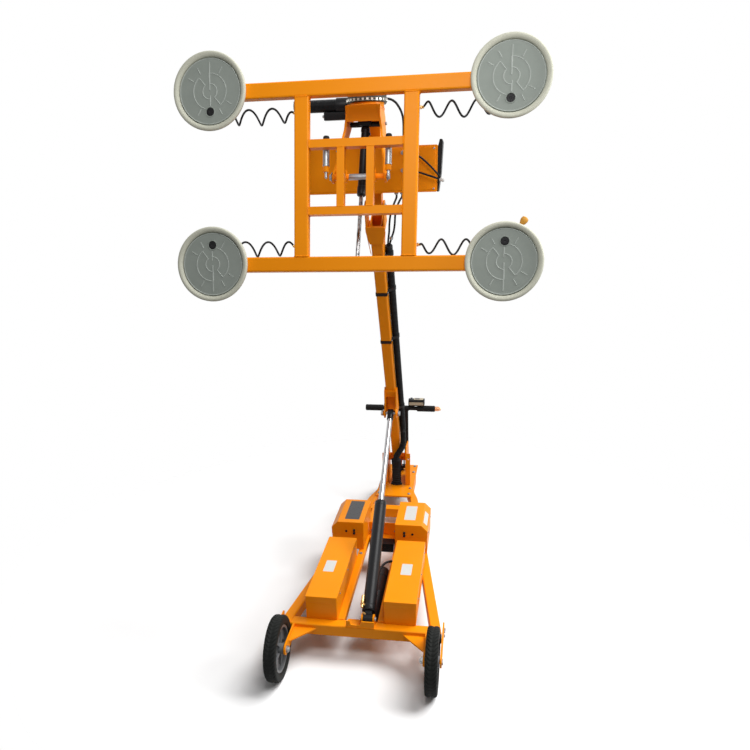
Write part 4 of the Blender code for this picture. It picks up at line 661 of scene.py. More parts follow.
black_plastic = rubber("black_plastic", (0.012, 0.012, 0.013), 0.40, 0.02)
LIP = [(0.1302, 0.0290), (0.1306, 0.0345), (0.1322, 0.0385), (0.1355, 0.0425), (0.1400, 0.0455),
       (0.1445, 0.0463), (0.1485, 0.0456), (0.1512, 0.0434), (0.1525, 0.0400), (0.1524, 0.0350),
       (0.1512, 0.0300), (0.1488, 0.0258), (0.1450, 0.0226), (0.1400, 0.0208), (0.1340, 0.0206),
       (0.1300, 0.0212)]
pad_rubber, cream_rubber = face_rubber(), lip_rubber()
for level, up in (("top", 1), ("bottom", -1)):
    for side, out in (("left", -1), ("right", 1)):
        name = f"{level}_{side}"
        centre = np.array([out * PAD_X, 0, up * PAD_UP])
        x, z, height, raised = pad_face(up)
        face = grid(centre + np.stack([x, -height, z], -1), capped=True)
        disc = on_frame(f"pad_face_{name}", [face], pad_rubber, "pad_rubber")
        # The line attribute holds the raised lines' mask, which face_rubber colours paler as a painted highlight.
        disc.data.attributes.new("line", "FLOAT", "POINT").data.foreach_set("value", raised.ravel())
        lip = lathe(LIP, centre, (0, -1, 0), 128, ring=True)
        back = lathe([(0.1290, 0.0292), (0.1305, 0.0285), (0.1305, 0.0225), (0.112, 0.0214), (0.108, 0.0240),
                      (0.088, 0.0240), (0.084, 0.0206), (0.030, 0.0206)], centre, (0, -1, 0), 96)
        on_frame(f"pad_lip_{name}", [lip], cream_rubber, "pad_rubber", f"pad_{name}")
        on_frame(f"pad_back_{name}", [back], zinc, "chrome_rod")
        middle = centre + np.array([0, 0, -up * PORT_DOWN])
        boss = lathe([(0.0168, 0.0300), (0.0168, 0.0352), (0.0176, 0.0362), (0.0200, 0.0362),
                      (0.0212, 0.0350), (0.0214, 0.0330), (0.0214, 0.0300)], middle, (0, -1, 0), 64,
                     ring=True)
        on_frame(f"port_boss_{name}", [boss], pad_rubber, "pad_rubber")
        plug = [lathe([(0.0164, 0.0285), (0.0164, 0.0312), (0.0150, 0.0322), (0.0060, 0.0326),
                       (0.0050, 0.0320)], middle, (0, -1, 0), 48)]
        for spoke in range(8):
            turn = 2 * np.pi * spoke / 8
            hub = middle + 0.0108 * np.array([np.sin(turn), 0, np.cos(turn)])
            plug.append(lathe([(0.0018, 0.0316), (0.0016, 0.0336), (0.0008, 0.0340)], hub, (0, -1, 0), 12))
        on_frame(f"port_filter_{name}", plug, black_plastic, "pad_rubber")
        bend = smooth_path([(0, -0.0200, 0), (0, -0.006, 0), (0, 0.012, 0), (-out * 0.004, 0.021, 0),
                            (-out * 0.014, 0.024, 0), (-out * 0.034, 0.024, 0)], 40) + middle
        barb = bend[-1]
        elbow = [sweep(bend, 0.0078, 24),
                 lathe([(0.0098, 0), (0.0100, 0.0005), (0.0100, 0.0085), (0.0095, 0.009)],
                       middle + np.array([0, -0.004, 0]), (0, 1, 0), 6),
                 lathe([(0.0092, -0.009), (0.0095, -0.0085), (0.0095, -0.001), (0.0090, 0),
                        (0.0056, 0.0005), (0.0058, 0.002), (0.0046, 0.0045)], barb, (-out, 0, 0), 6)]
        on_frame(f"pad_elbow_{name}", elbow, brass, "pad_rubber")


# The painted steelwork: chassis, carriers, boom, head, yoke and suction frame are welded from
# tube and plate and powder-coated a glossy orange with a faint orange peel. The drive unit, the
# tiller's column and the pump's handle are painted black.


def powder_coat(name, colour, shade, roughness, gloss=0.25):
    """Powder coat: orange peel in the normal, small changes of tone and gloss, and fine dust."""
    start, shader, made = finish_of(name, colour, roughness, gloss=gloss)
    where = start.node("ShaderNodeTexCoord", output=3)
    cloud = start.node("ShaderNodeTexNoise", {"Vector": where, "Scale": 5.0, "Detail": 6.0})
    peel = start.node("ShaderNodeTexNoise", {"Vector": where, "Scale": 420.0, "Detail": 2.0})
    dust = start.node("ShaderNodeTexNoise", {"Vector": where, "Scale": 60.0, "Detail": 8.0})
    wire(start, shader, Base_Color=cloud.blend((*shade, 1), (*colour, 1)),
         Roughness=roughness - 0.10 + dust * 0.16 + cloud * 0.06,
         Normal=start.node("ShaderNodeBump", {"Height": peel, "Strength": 0.10, "Distance": 0.0006}))
    return made


orange_paint = powder_coat("orange_coat", (0.90, 0.292, 0.003), (0.85, 0.255, 0.002), 0.38, 0.12)
black_paint = powder_coat("black_coat", (0.011, 0.011, 0.012), (0.007, 0.007, 0.008), 0.36, 0.15)
rim_paint = powder_coat("rim_coat", (0.17, 0.175, 0.18), (0.10, 0.103, 0.107), 0.40)
FINISHES = {"orange_paint": orange_paint, "housing": orange_paint, "black_paint": black_paint,
            "rim": rim_paint}
for node in frame["nodes"].values():
    for i, given in enumerate(node.data.materials):
        node.data.materials[i] = FINISHES.get(given.name, black_paint)

SOFT_EDGES = ("front_beam", "side_rail_left", "side_rail_right", "cross_member_mid",
              "cross_member_rear", "wheel_bracket_left", "wheel_bracket_right", "axle_plate_left",
              "axle_plate_right", "cylinder_saddle", "mast_foot", "boom_head", "rod_bracket",
              "yoke", "drive_housing", "tiller_column", "head_column", "frame_ladder", "pump_handle")
for name in SOFT_EDGES:
    node = frame["nodes"][name]
    joined = node.modifiers.new("joined", "WELD")
    joined.merge_threshold = 0.00002
    edge = node.modifiers.new("edges", "BEVEL")
    edge.width = 0.0009
    edge.segments = 2
    edge.angle_limit = math.radians(35)


def weld(start, end, throat=0.0024):
    """A weld bead from one point to another: a tube that swells with every 2.6 mm it goes."""
    start, end = np.asarray(start, float), np.asarray(end, float)
    length = np.linalg.norm(end - start)
    t = np.linspace(0, 1, max(10, int(length / 0.0009)))
    ripple = 1 + 0.15 * np.sin(2 * np.pi * t * length / 0.0026)
    taper = np.clip(np.minimum(t, 1 - t) * length / 0.002, 0.4, 1)
    return sweep(start + (end - start) * t[:, None], throat * ripple * taper, 8)


def both_sides(seams):
    """Weld beads for a list of seams, each a start, an end and a throat, and for its mirror image."""
    return [weld((out * start[0], *start[1:]), (out * end[0], *end[1:]), throat)
            for out in (1, -1) for start, end, throat in seams]


def bolt(place, axis, radius):
    """A hexagon bolt seen from outside: a washer and a chamfered head on a shank of this radius."""
    washer = [(2.0 * radius, 0), (2.1 * radius, 0.1 * radius), (2.1 * radius, 0.3 * radius),
              (2.0 * radius, 0.35 * radius)]
    head = [(1.75 * radius, 0.34 * radius), (1.8 * radius, 0.40 * radius),
            (1.8 * radius, 1.35 * radius), (1.5 * radius, 1.55 * radius)]
    return [lathe(washer, place, axis, 28), lathe(head, place, axis, 6)]


def cap_screw(place, axis, radius):
    """A socket screw's head: a chamfered drum with a recess."""
    return [lathe([(1.5 * radius, 0), (1.5 * radius, 1.6 * radius), (1.35 * radius, 1.8 * radius),
                   (0.85 * radius, 1.8 * radius), (0.80 * radius, 0.9 * radius)], place, axis, 24)]


def prism(outline, low, high, axis="z"):
    """A flat outline drawn out along an axis from low to high, closed by a face at each end."""
    outline = np.asarray(outline, float)
    return grid([np.insert(outline, "xyz".index(axis), level, axis=1) for level in (low, high)])


def rounded(x0, x1, y0, y1, corner, steps=6):
    """The outline of a rectangle with round corners, counted from its lowest and highest sides."""
    quarter = np.linspace(0, np.pi / 2, steps + 1)
    parts = [(x1 - corner, y1 - corner, 0), (x0 + corner, y1 - corner, 1),
             (x0 + corner, y0 + corner, 2), (x1 - corner, y0 + corner, 3)]
    return np.vstack([np.stack([x + corner * np.cos(quarter + k * np.pi / 2),
                                y + corner * np.sin(quarter + k * np.pi / 2)], 1) for x, y, k in parts])


# The suction frame: two beams and two posts of 60 by 40 mm tube with a ladder between the posts,
# welded all round. The beams' ends are shut by black plastic plugs, and the pads' bolts come
# through the beams from behind. CAD gives the tubes; the welds, plugs and bolts are added here.

FRAME_BACK = 0.020
POST_INNER = 0.191
POST_OUTER = 0.251
BEAM_LOW = 0.311
LADDER_UP = 0.130
LADDER_HALF = 0.016
SLEEVE_NEAR, SLEEVE_FAR = 0.045, 0.075
beads = []
for up in (1, -1):
    for out in (1, -1):
        z = up * (BEAM_LOW - 0.0012)
        near, far = out * (POST_INNER + 0.003), out * (POST_OUTER - 0.003)
        bar_low, bar_high = up * (LADDER_UP - LADDER_HALF), up * (LADDER_UP + LADDER_HALF)
        x = out * (POST_INNER - 0.0008)
        beads += [weld((near, -FRAME_BACK, z), (far, -FRAME_BACK, z)),
                  weld((near, FRAME_BACK, z), (far, FRAME_BACK, z)),
                  weld((out * POST_INNER, -0.016, z), (out * POST_INNER, 0.016, z)),
                  weld((out * POST_OUTER, -0.016, z), (out * POST_OUTER, 0.016, z)),
                  weld((x, -FRAME_BACK, bar_low), (x, -FRAME_BACK, bar_high), 0.0020),
                  weld((x, -0.017, bar_high), (x, 0.017, bar_high), 0.0020),
                  weld((x, -0.017, bar_low), (x, 0.017, bar_low), 0.0020)]
        near, far = out * SLEEVE_NEAR, out * SLEEVE_FAR
        beads += [weld((near, -0.017, bar_low), (near, 0.017, bar_low), 0.0018),
                  weld((far, -0.017, bar_low), (far, 0.017, bar_low), 0.0018),
                  weld((near, -FRAME_BACK, bar_low), (far, -FRAME_BACK, bar_low), 0.0016)]
on_frame("frame_welds", beads, orange_paint, "orange_paint")

plugs, pad_bolts = [], []
for up in (1, -1):
    for out in (1, -1):
        outline = rounded(-0.0195, 0.0195, up * PAD_UP - 0.0295, up * PAD_UP + 0.0295, 0.0055)
        inner = rounded(-0.0155, 0.0155, up * PAD_UP - 0.0255, up * PAD_UP + 0.0255, 0.002)
        plugs += [prism(outline, out * 0.6402, out * 0.6432, "x"),
                  prism(inner, out * 0.628, out * 0.6404, "x")]
        for x in (-0.030, 0.030):
            place = (out * PAD_X + x, FRAME_BACK + 0.0002, up * PAD_UP)
            pad_bolts += bolt(place, (0, 1, 0), 0.0040)
on_frame("beam_plugs", plugs, black_plastic, "black_plastic", bevel=0.0007)
on_frame("pad_bolts", pad_bolts, zinc, "chrome_rod")


# The two locking pins behind the ladder. Each is a plated steel pin that slides in a welded
# sleeve with a zinc-plated guide round it, and is pulled up by a fluted knob of black phenolic.

LATCH_X = 0.128
LATCH_BACK = 0.029
SLEEVE_TOP = 0.1493


def fluted_knob(place, base, steps=96):
    """A turned knob whose radius falls by eight shallow flutes between its top and its waist."""
    profile = np.array([(0.0078, 0), (0.0082, 0.003), (0.0100, 0.0055), (0.0126, 0.0075),
                        (0.0130, 0.0105), (0.0130, 0.0150), (0.0122, 0.0180), (0.0098, 0.0204),
                        (0.0060, 0.0216), (0.0025, 0.0220)])
    radius, height = profile.T
    angle = np.linspace(0, 2 * np.pi, steps, endpoint=False)
    grip = np.clip((height - 0.004) / 0.004, 0, 1) * np.clip((0.0190 - height) / 0.002, 0, 1)
    fluted = radius[:, None] * (1 - 0.09 * grip[:, None] * np.clip(np.cos(8 * angle), 0, 1)[None])
    points = np.stack([fluted * np.cos(angle), fluted * np.sin(angle),
                       np.broadcast_to(height[:, None] + base, fluted.shape)], -1)
    return grid(np.asarray(place) + points)


for side, out in (("left", -1), ("right", 1)):
    place = np.array([out * LATCH_X, LATCH_BACK, 0])
    body = f"lock_pin_{side}"
    knob = fluted_knob(place, SLEEVE_TOP + 0.0003)
    build(f"locking_knob_{side}", in_place([knob], FRAME_ORIGIN, FRAME_LEAN), black_plastic, body,
          "black_knob", f"latch_{side}")
    guide = lathe([(0.01215, 0.052), (0.0136, 0.052), (0.0140, 0.0526), (0.0140, 0.0600),
                   (0.0132, 0.0608), (0.0132, 0.1240), (0.0140, 0.1248), (0.0140, 0.1320),
                   (0.0134, 0.1326), (0.01215, 0.1326)], place, steps=40, ring=True)
    on_frame(f"locking_guide_{side}", [guide], zinc, "chrome_rod")
    pin = lathe([(0.0030, 0.0045), (0.0058, 0.0085), (0.0058, SLEEVE_TOP + 0.0005)], place, steps=32)
    build(f"locking_pin_{side}", in_place([pin], FRAME_ORIGIN, FRAME_LEAN), zinc, body, "black_knob")


# The release valve at the lower beam's right end: a plated stem that is screwed into the beam
# and bends outwards, with an amber plastic knob.

amber = rubber("amber_plastic", (0.62, 0.30, 0.05), 0.34, 0.04)
stem_route = smooth_path([(0.618, 0.004, -0.3112), (0.619, 0.004, -0.285), (0.628, 0.005, -0.250),
                          (0.646, 0.007, -0.215), (0.660, 0.008, -0.194)], 40)
knob_way = (stem_route[-1] - stem_route[-3]) / np.linalg.norm(stem_route[-1] - stem_route[-3])
stem = [sweep(stem_route, 0.0045, 16),
        lathe([(0.0080, 0), (0.0086, 0.0006), (0.0086, 0.0070), (0.0078, 0.0076)], stem_route[0],
              (0, 0, 1), 6)]
on_frame("release_stem", stem, zinc, "chrome_rod")
knob = lathe([(0.0060, -0.004), (0.0080, -0.002), (0.0095, 0.004), (0.0130, 0.010), (0.0150, 0.017),
              (0.0150, 0.023), (0.0130, 0.0285), (0.0080, 0.0315), (0.0030, 0.0320)], stem_route[-1],
             knob_way, 40)
on_frame("release_knob", [knob], amber, "black_plastic")


# The actuator that tilts the suction frame: a black barrel hung by its trunnions between the
# yoke's arms, with a plate across its top, a gland nut and a wiper at its lower end, and a
# hard-chromed rod.


def hard_chrome(name, lean, shade):
    """Chrome with painted reflections: dark and light streaks along a rod that leans about X, from noise drawn out by
    fifty.
    """
    start, shader, made = finish_of(name, (0.5, 0.5, 0.5), 0.14, 1.0)
    where = start.node("ShaderNodeTexCoord", output=3)
    turned = start.node("ShaderNodeVectorRotate", {"Vector": where, "Angle": math.radians(lean)},
                        rotation_type="X_AXIS")
    drawn = start.node("ShaderNodeVectorMath", {0: turned, 1: (1, 1, 0.02)}, operation="MULTIPLY")
    streak = start.node("ShaderNodeTexNoise", {"Vector": drawn, "Scale": 75.0, "Detail": 4.0})
    # The streaks are painted reflections: shade is their dark end and 0.50 grey is their light end.
    wire(start, shader, Base_Color=((streak - 0.30) * 2.5).blend(shade, (0.50, 0.49, 0.49, 1)),
         Roughness=0.10 + streak * 0.08)
    return made


TILT_TOP = np.array([0, -0.305, 2.400])
TILT_EYE = np.array([0, -0.6347, 1.8449])
tilt_way = (TILT_EYE - TILT_TOP) / np.linalg.norm(TILT_EYE - TILT_TOP)
tilt_reach = np.linalg.norm(TILT_EYE - TILT_TOP)
barrel = [lathe([(0.0100, 0.010), (0.0130, 0.0125), (0.0165, 0.0180), (0.0186, 0.0200),
                 (0.0190, 0.0215), (0.0190, 0.0330), (0.0180, 0.0345), (0.0172, 0.0360),
                 (0.0172, 0.2920), (0.0188, 0.2935), (0.0190, 0.2950), (0.0190, 0.3260),
                 (0.0180, 0.3290), (0.0120, 0.3300), (0.0100, 0.3290), (0.0095, 0.3180),
                 (0.0095, 0.0300), (0.0030, 0.0280)], TILT_TOP, tilt_way, 56),
          lathe([(0.0070, -0.0675), (0.0108, -0.0668), (0.0110, -0.0660), (0.0110, 0.0660),
                 (0.0108, 0.0668), (0.0070, 0.0675)], TILT_TOP, (1, 0, 0), 40),
          lathe([(0.0138, 0), (0.0138, 0.016)], TILT_TOP, tilt_way, 40)]
for s in (0.300, 0.312):
    barrel.append(lathe([(0.0188, s), (0.0194, s + 0.0010), (0.0194, s + 0.0045), (0.0188, s + 0.0055)],
                        TILT_TOP, tilt_way, 12))
for s in (0.046, 0.262):
    port = TILT_TOP + s * tilt_way + np.array([0.0165, 0, 0])
    barrel.append(lathe([(0.0060, 0), (0.0062, 0.0008), (0.0062, 0.006), (0.0055, 0.0068),
                         (0.0030, 0.0068)], port, (1, 0, 0), 6))
tee = prism([(-0.029, 2.4060), (-0.021, 2.3930), (0.021, 2.3930), (0.029, 2.4060), (0.029, 2.4200),
             (-0.029, 2.4200)], -0.3360, -0.3240, "y")
barrel.append(tee)
build("tilt_actuator_barrel", barrel, black_paint, "tilt_cylinder", "black_paint", "tilt_barrel")
rod = [lathe([(0.0080, 0.2710), (0.0088, 0.2720), (0.0088, tilt_reach - 0.012)], TILT_TOP, tilt_way, 40),
       lathe([(0.0062, -0.0096), (0.0128, -0.0096), (0.0136, -0.0088), (0.0136, 0.0088),
              (0.0128, 0.0096), (0.0062, 0.0096)], TILT_EYE, (1, 0, 0), 40, ring=True),
       lathe([(0.0105, tilt_reach - 0.034), (0.0110, tilt_reach - 0.033),
              (0.0110, tilt_reach - 0.026), (0.0105, tilt_reach - 0.025)], TILT_TOP, tilt_way, 6)]
# Its nearly black shade gives this rod dark painted reflections.
build("tilt_actuator_rod", rod, hard_chrome("tilt_chrome", -30.7, (0.05, 0.05, 0.05, 1)),
      "tilt_piston", "chrome_rod", "tilt_rod")


# The yoke that turns under the slewing drive: CAD's plates in orange, with its fillet welds, the
# bolts of its flange, the bright tilt shaft with its washers and circlips, and the trunnions' caps.

TILT_SHAFT = (0, -0.505, 2.190)
yoke_beads = both_sides([((0.0662, -0.375, 2.4595), (0.0662, -0.212, 2.4595), 0.0024),
                         ((0.0700, -0.3855, 2.452), (0.0735, -0.3855, 2.4105), 0.0018)])
yoke_beads.append(weld((-0.066, -0.3850, 2.4700), (0.066, -0.3850, 2.4700), 0.0020))
build("yoke_welds", yoke_beads, orange_paint, "slewing_yoke", "orange_paint")

fasteners = []
for i in range(8):
    turn = 2 * np.pi * (i + 0.5) / 8
    place = (0.062 * math.cos(turn), -0.255 + 0.050 * math.sin(turn), 2.4596)
    if abs(place[0]) < 0.055:
        fasteners += cap_screw(place, (0, 0, -1), 0.0035)
for out in (1, -1):
    arm_end = (out * 0.1155, TILT_SHAFT[1], TILT_SHAFT[2])
    fasteners += [lathe([(0.0125, 0), (0.0195, 0), (0.0200, 0.0004), (0.0200, 0.0020),
                         (0.0125, 0.0024)], arm_end, (out, 0, 0), 40),
                  lathe([(0.0122, 0.0036), (0.0146, 0.0038), (0.0146, 0.0048), (0.0122, 0.0050)],
                        arm_end, (out, 0, 0), 40),
                  lathe([(0.0122, 0), (0.0122, 0.0104), (0.0112, 0.0114), (0.0060, 0.0114)],
                        arm_end, (out, 0, 0), 40)]
    fasteners += cap_screw((out * 0.0835, TILT_TOP[1], TILT_TOP[2]), (out, 0, 0.158), 0.0046)
fasteners += [lathe([(0.01205, -0.044), (0.01215, -0.0435), (0.01215, 0.0435), (0.01205, 0.044)],
                    TILT_SHAFT, (1, 0, 0), 40)]
build("yoke_fasteners", fasteners, zinc, "slewing_yoke", "chrome_rod")


# The slewing drive: a cast, grey-green ring housing bolted under the head's arm, with a band of
# bright steel teeth. Its worm housing lies behind, and a black gear motor with a finned waist is
# screwed to the worm's left end.

cast_grey = powder_coat("cast_grey", (0.050, 0.058, 0.050), (0.030, 0.036, 0.031), 0.46)
SLEW_Y, WORM_Y, MOTOR_Z = -0.255, -0.165, 2.4908
SLEW_AXIS = (0, SLEW_Y, 0)
MOTOR_AXIS = (0, WORM_Y, MOTOR_Z)
housing = [lathe([(0.0560, 2.4868), (0.0840, 2.4868), (0.0868, 2.4882), (0.0874, 2.4900),
                  (0.0874, 2.5010), (0.0850, 2.5026), (0.0836, 2.5050), (0.0836, 2.5130),
                  (0.0850, 2.5154), (0.0874, 2.5170), (0.0874, 2.5295), (0.0860, 2.5314),
                  (0.0560, 2.5316)], SLEW_AXIS, steps=120, ring=True)]
worm = rounded(-0.193, -0.137, 2.4876, 2.5308, 0.012)
housing += [prism(worm, -0.0880, 0.0680, "x"),
            lathe([(0.0150, 0.0675), (0.0205, 0.0680), (0.0205, 0.0712), (0.0190, 0.0728),
                   (0.0100, 0.0730)], (0, WORM_Y, 2.5092), (1, 0, 0), 48),
            lathe([(0.0355, 0.0800), (0.0358, 0.0806), (0.0358, 0.0900), (0.0350, 0.0911),
                   (0.0200, 0.0912)], MOTOR_AXIS, (-1, 0, 0), 56)]
build("slewing_ring_housing", housing, cast_grey, "head", "black_paint", "slew_housing", bevel=0.0008)
around = np.linspace(0, 2 * np.pi, 720, endpoint=False)
tooth = 0.0908 - 0.0030 * (np.sin(28 * around) > 0)
level = np.array([2.4912, 2.4912, 2.4918, 2.5000, 2.5006, 2.5006])[:, None]
depth = np.array([0.0872, 0.0, 0.0005, 0.0005, 0.0, 0.0872])[:, None]
reach = np.where(depth > 0.01, depth, tooth - depth)
teeth = grid(np.stack([reach * np.cos(around), reach * np.sin(around) + SLEW_Y, level + 0 * around], -1),
             closed_u=True)
ring_steel = bare_metal("ring_steel", (0.44, 0.44, 0.40), (0.70, 0.69, 0.64), 0.36, 40)
build("slewing_ring_teeth", [teeth], ring_steel, "head", "chrome_rod")
screws = []
for y, z in ((-0.184, 2.496), (-0.184, 2.523), (-0.146, 2.496), (-0.146, 2.523)):
    screws += cap_screw((0.0681, y, z), (1, 0, 0), 0.0022)
for turn in (0.8, 2.3, 3.9, 5.4):
    screws += cap_screw((-0.0801, WORM_Y + 0.0305 * math.cos(turn), MOTOR_Z + 0.0305 * math.sin(turn)),
                        (1, 0, 0), 0.0018)
build("slewing_ring_screws", screws, zinc, "head", "chrome_rod")

WAIST_START, FIN_PITCH = 0.066, 0.0060
s = np.linspace(WAIST_START, 0.186, 121)
fins = 0.0267 - 0.0022 * (np.sin(2 * np.pi * (s - WAIST_START) / FIN_PITCH) > 0.2)
motor = [(0.0240, 0.0915), (0.0306, 0.0920), (0.0310, 0.0930), (0.0310, 0.1500), (0.0300, 0.1514),
         (0.0268, 0.1535)]
motor += [(r, 0.0905 + along) for r, along in zip(fins, s)]
motor += [(0.0268, 0.2790), (0.0300, 0.2810), (0.0310, 0.2825), (0.0310, 0.3380), (0.0302, 0.3405),
          (0.0270, 0.3440), (0.0215, 0.3462), (0.0080, 0.3463)]
gear_motor = [lathe(motor, MOTOR_AXIS, (-1, 0, 0), 64)]
gear_motor += [prism(rounded(-0.185, -0.145, 2.4310, 2.4640, 0.004), -0.2080, -0.1040, "x")]
build("slewing_gear_motor", gear_motor, black_paint, "head", "black_paint", "slew_motor", bevel=0.0006)
trim = []
for turn in (0.6, 2.0, 4.0, 5.4):
    trim += cap_screw((-0.3440, WORM_Y + 0.0235 * math.cos(turn), MOTOR_Z + 0.0235 * math.sin(turn)),
                      (-1, 0, 0), 0.0016)
trim += [lathe([(0.0050, 0), (0.0062, 0.001), (0.0062, 0.008), (0.0050, 0.010)],
               (-0.2080, WORM_Y, 2.4480), (-1, 0, 0), 6)]
build("gear_motor_screws", trim, zinc, "head", "chrome_rod")


# The head: a square column on the boom's pivot with a plate arm forward over the slewing drive.
# It carries the pump box, a folded steel housing with a screwed lid, and the black handle at the
# box's right end.

head_beads = [weld((x, -0.0905, 2.5325), (x, -0.330, 2.5325), 0.0018) for x in (-0.034, 0.034)]
head_beads += [weld((x, -0.0908, 2.110), (x, -0.0908, 2.322), 0.0022) for x in (-0.0352, 0.0352)]
build("head_welds", head_beads, orange_paint, "head", "orange_paint")
arm_bolts = []
for x in (-0.022, 0.022):
    for y in (-0.215, -0.295):
        arm_bolts += bolt((x, y, 2.5472), (0, 0, 1), 0.0045)
build("head_arm_bolts", arm_bolts, zinc, "head", "chrome_rod")

PUMP_X = 0.305
PUMP_LOW, PUMP_HIGH = 2.1182, 2.3148
PUMP_BACK = -0.0912
LID_EDGE = 0.009
case = [prism(rounded(-PUMP_X, PUMP_X, PUMP_LOW, PUMP_HIGH, 0.006), PUMP_BACK - 0.112, PUMP_BACK, "y"),
        prism(rounded(-PUMP_X + LID_EDGE, PUMP_X - LID_EDGE, PUMP_LOW + LID_EDGE, PUMP_HIGH - LID_EDGE,
                      0.004), PUMP_FACE + 0.0003, PUMP_BACK - 0.1115, "y")]
build("pump_housing", case, orange_paint, "head", "housing", "pump_box", bevel=0.0012)
lid_screws = []
for x in (-0.290, -0.150, 0.290):
    for z in (2.1325, 2.3005):
        lid_screws += cap_screw((x, PUMP_FACE + 0.0002, z), (0, -1, 0), 0.0026)
build("pump_housing_screws", lid_screws, zinc, "head", "chrome_rod")


# The loose hose of the head: black rubber, it leaves the end of the slewing drive's housing and
# arcs down to the pump box, where a zinc-plated nut on the lid holds it.

RISER_RADIUS = 0.005
slewing_route = smooth_path([(0.0730, -0.165, 2.5092), (0.0860, -0.165, 2.5078), (0.0984, -0.164, 2.5036),
                             (0.1095, -0.162, 2.4968), (0.1190, -0.160, 2.4878), (0.1343, -0.155, 2.4646),
                             (0.1439, -0.150, 2.4383), (0.1471, -0.146, 2.4107), (0.1471, -0.142, 2.3750),
                             (0.1471, -0.140, 2.3450), (0.1471, -0.140, 2.3148)], 110)
slewing_hose = build("slewing_hose", [sweep(slewing_route, RISER_RADIUS, 14)], hose_rubber, "head",
                     "hose_rubber")
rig.cord(slewing_hose, exit=slewing_route[0], length=length_of(slewing_route), diameter=2 * RISER_RADIUS,
        far_end="object", stiffness="medium", lay="hanging", path=slewing_route)
build("slewing_hose_socket", [lathe([(0.0075, 0), (0.0090, 0.0005), (0.0090, 0.0060), (0.0065, 0.0085)],
                                    slewing_route[-1], (0, 0, 1), 6)], zinc, "head", "chrome_rod")


# The boom: a 60 by 100 mm tube with a welded head, and a boss welded through its foot that turns
# on the mast's pin. Four black clamps hold a corrugated sleeve on its right side, and two thin
# hoses leave the sleeve's top for sockets under the pump box.

BOOM_ORIGIN = (0, 0.895, 0.370)
BOOM_LEAN = 29.5
boom_beads = both_sides([((0.0335, -0.0503, 1.700), (0.0475, -0.0503, 1.832), 0.0018),
                         ((0.0405, -0.044, 1.8600), (0.0405, 0.034, 1.8600), 0.0018),
                         ((0.0390, -0.0260, 0.525), (0.0390, -0.0260, 0.715), 0.0016)])
boom_beads += [weld((-0.032, -0.0503, 1.6960), (0.032, -0.0503, 1.6960), 0.0018),
               weld((-0.030, -0.0606, 0.668), (0.030, -0.0606, 0.668), 0.0018)]
around = np.linspace(0, 2 * np.pi, 220)
for out in (1, -1):
    ripple = 0.0021 * (1 + 0.15 * np.sin(66 * around))
    ring = np.stack([out * 0.0306 + 0 * around, 0.0275 * np.cos(around), 0.0275 * np.sin(around)], 1)
    boom_beads.append(sweep(ring, ripple, 8))
build("boom_welds", in_place(boom_beads, BOOM_ORIGIN, BOOM_LEAN), orange_paint, "boom_arm",
      "orange_paint")

SLEEVE_X, SLEEVE_Y = 0.0503, 0.012
SLEEVE_PITCH = 0.0052
sleeve_route = smooth_path([(SLEEVE_X, SLEEVE_Y, 1.700), (SLEEVE_X, SLEEVE_Y, 1.240),
                            (SLEEVE_X, SLEEVE_Y, 0.790), (SLEEVE_X, SLEEVE_Y, 0.330),
                            (0.0523, -0.014, 0.280), (0.0543, -0.048, 0.235), (0.0463, -0.074, 0.195),
                            (0.0263, -0.084, 0.155), (0.008, -0.086, 0.115), (0, -0.084, 0.080),
                            (0, -0.084, 0.060)], 1500)
steps = np.linalg.norm(np.diff(sleeve_route, axis=0), axis=1)
gone = np.concatenate([[0], np.cumsum(steps)])
even = np.linspace(0, gone[-1], 1900)
sleeve_route = np.stack([np.interp(even, gone, sleeve_route[:, i]) for i in range(3)], 1)
corrugated = 0.0180 + 0.0016 * np.cos(2 * np.pi * even / SLEEVE_PITCH)
sleeve = [sweep(sleeve_route, corrugated, 20),
          lathe([(0.0150, 1.6900), (0.0196, 1.6900), (0.0198, 1.6915), (0.0198, 1.7060),
                 (0.0185, 1.7080), (0.0120, 1.7085)], (SLEEVE_X, SLEEVE_Y, 0), steps=32)]
build("hose_sleeve_conduit", in_place(sleeve, BOOM_ORIGIN, BOOM_LEAN), hose_rubber, "boom_arm",
      "hose_rubber", "hose_sleeve")

risers = [[(0.0463, 0.0640, 1.8640), (0.0490, 0.0620, 1.8950), (0.0540, 0.0560, 1.9300),
           (0.0570, 0.0450, 1.9680), (0.0640, 0.0260, 2.0060), (0.0780, -0.0060, 2.0440),
           (0.0960, -0.0520, 2.0760), (0.1090, -0.0980, 2.0960), (0.1120, -0.1300, 2.1182)],
          [(0.0543, 0.0640, 1.8640), (0.0640, 0.0600, 1.8960), (0.0770, 0.0530, 1.9310),
           (0.0840, 0.0440, 1.9690), (0.0880, 0.0300, 2.0080), (0.0990, 0.0020, 2.0470),
           (0.1180, -0.0420, 2.0790), (0.1340, -0.0880, 2.0990), (0.1380, -0.1220, 2.1182)]]
riser_ends = []
for side, points in zip(("left", "right"), risers):
    route = smooth_path(points, 120)
    riser = build(f"riser_hose_{side}", [sweep(route, RISER_RADIUS, 14)], hose_rubber, None, "hose_rubber")
    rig.cord(riser, exit=route[0], length=length_of(route), diameter=2 * RISER_RADIUS, far_end="object",
            stiffness="medium", lay="hanging", path=route)
    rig.blend(riser, "boom_arm", "head", start=(0.060, 0.050, 1.935), end=(0.105, -0.060, 2.085))
    riser_ends.append(lathe([(0.0100, 0.0), (0.0104, 0.0006), (0.0104, 0.0070), (0.0070, 0.0090)],
                            route[-1], (0, 0, -1), 6))
build("riser_hose_sockets", riser_ends, zinc, "head", "chrome_rod")
clip_at = smooth_path(risers[1], 120)[16]
build("riser_hose_clip", [lathe([(0.0052, -0.007), (0.0085, -0.0065), (0.0092, 0), (0.0085, 0.0065),
                                 (0.0052, 0.007)], clip_at, (0.30, -0.12, 0.93), 24, ring=True)],
      zinc, "boom_arm", "chrome_rod")


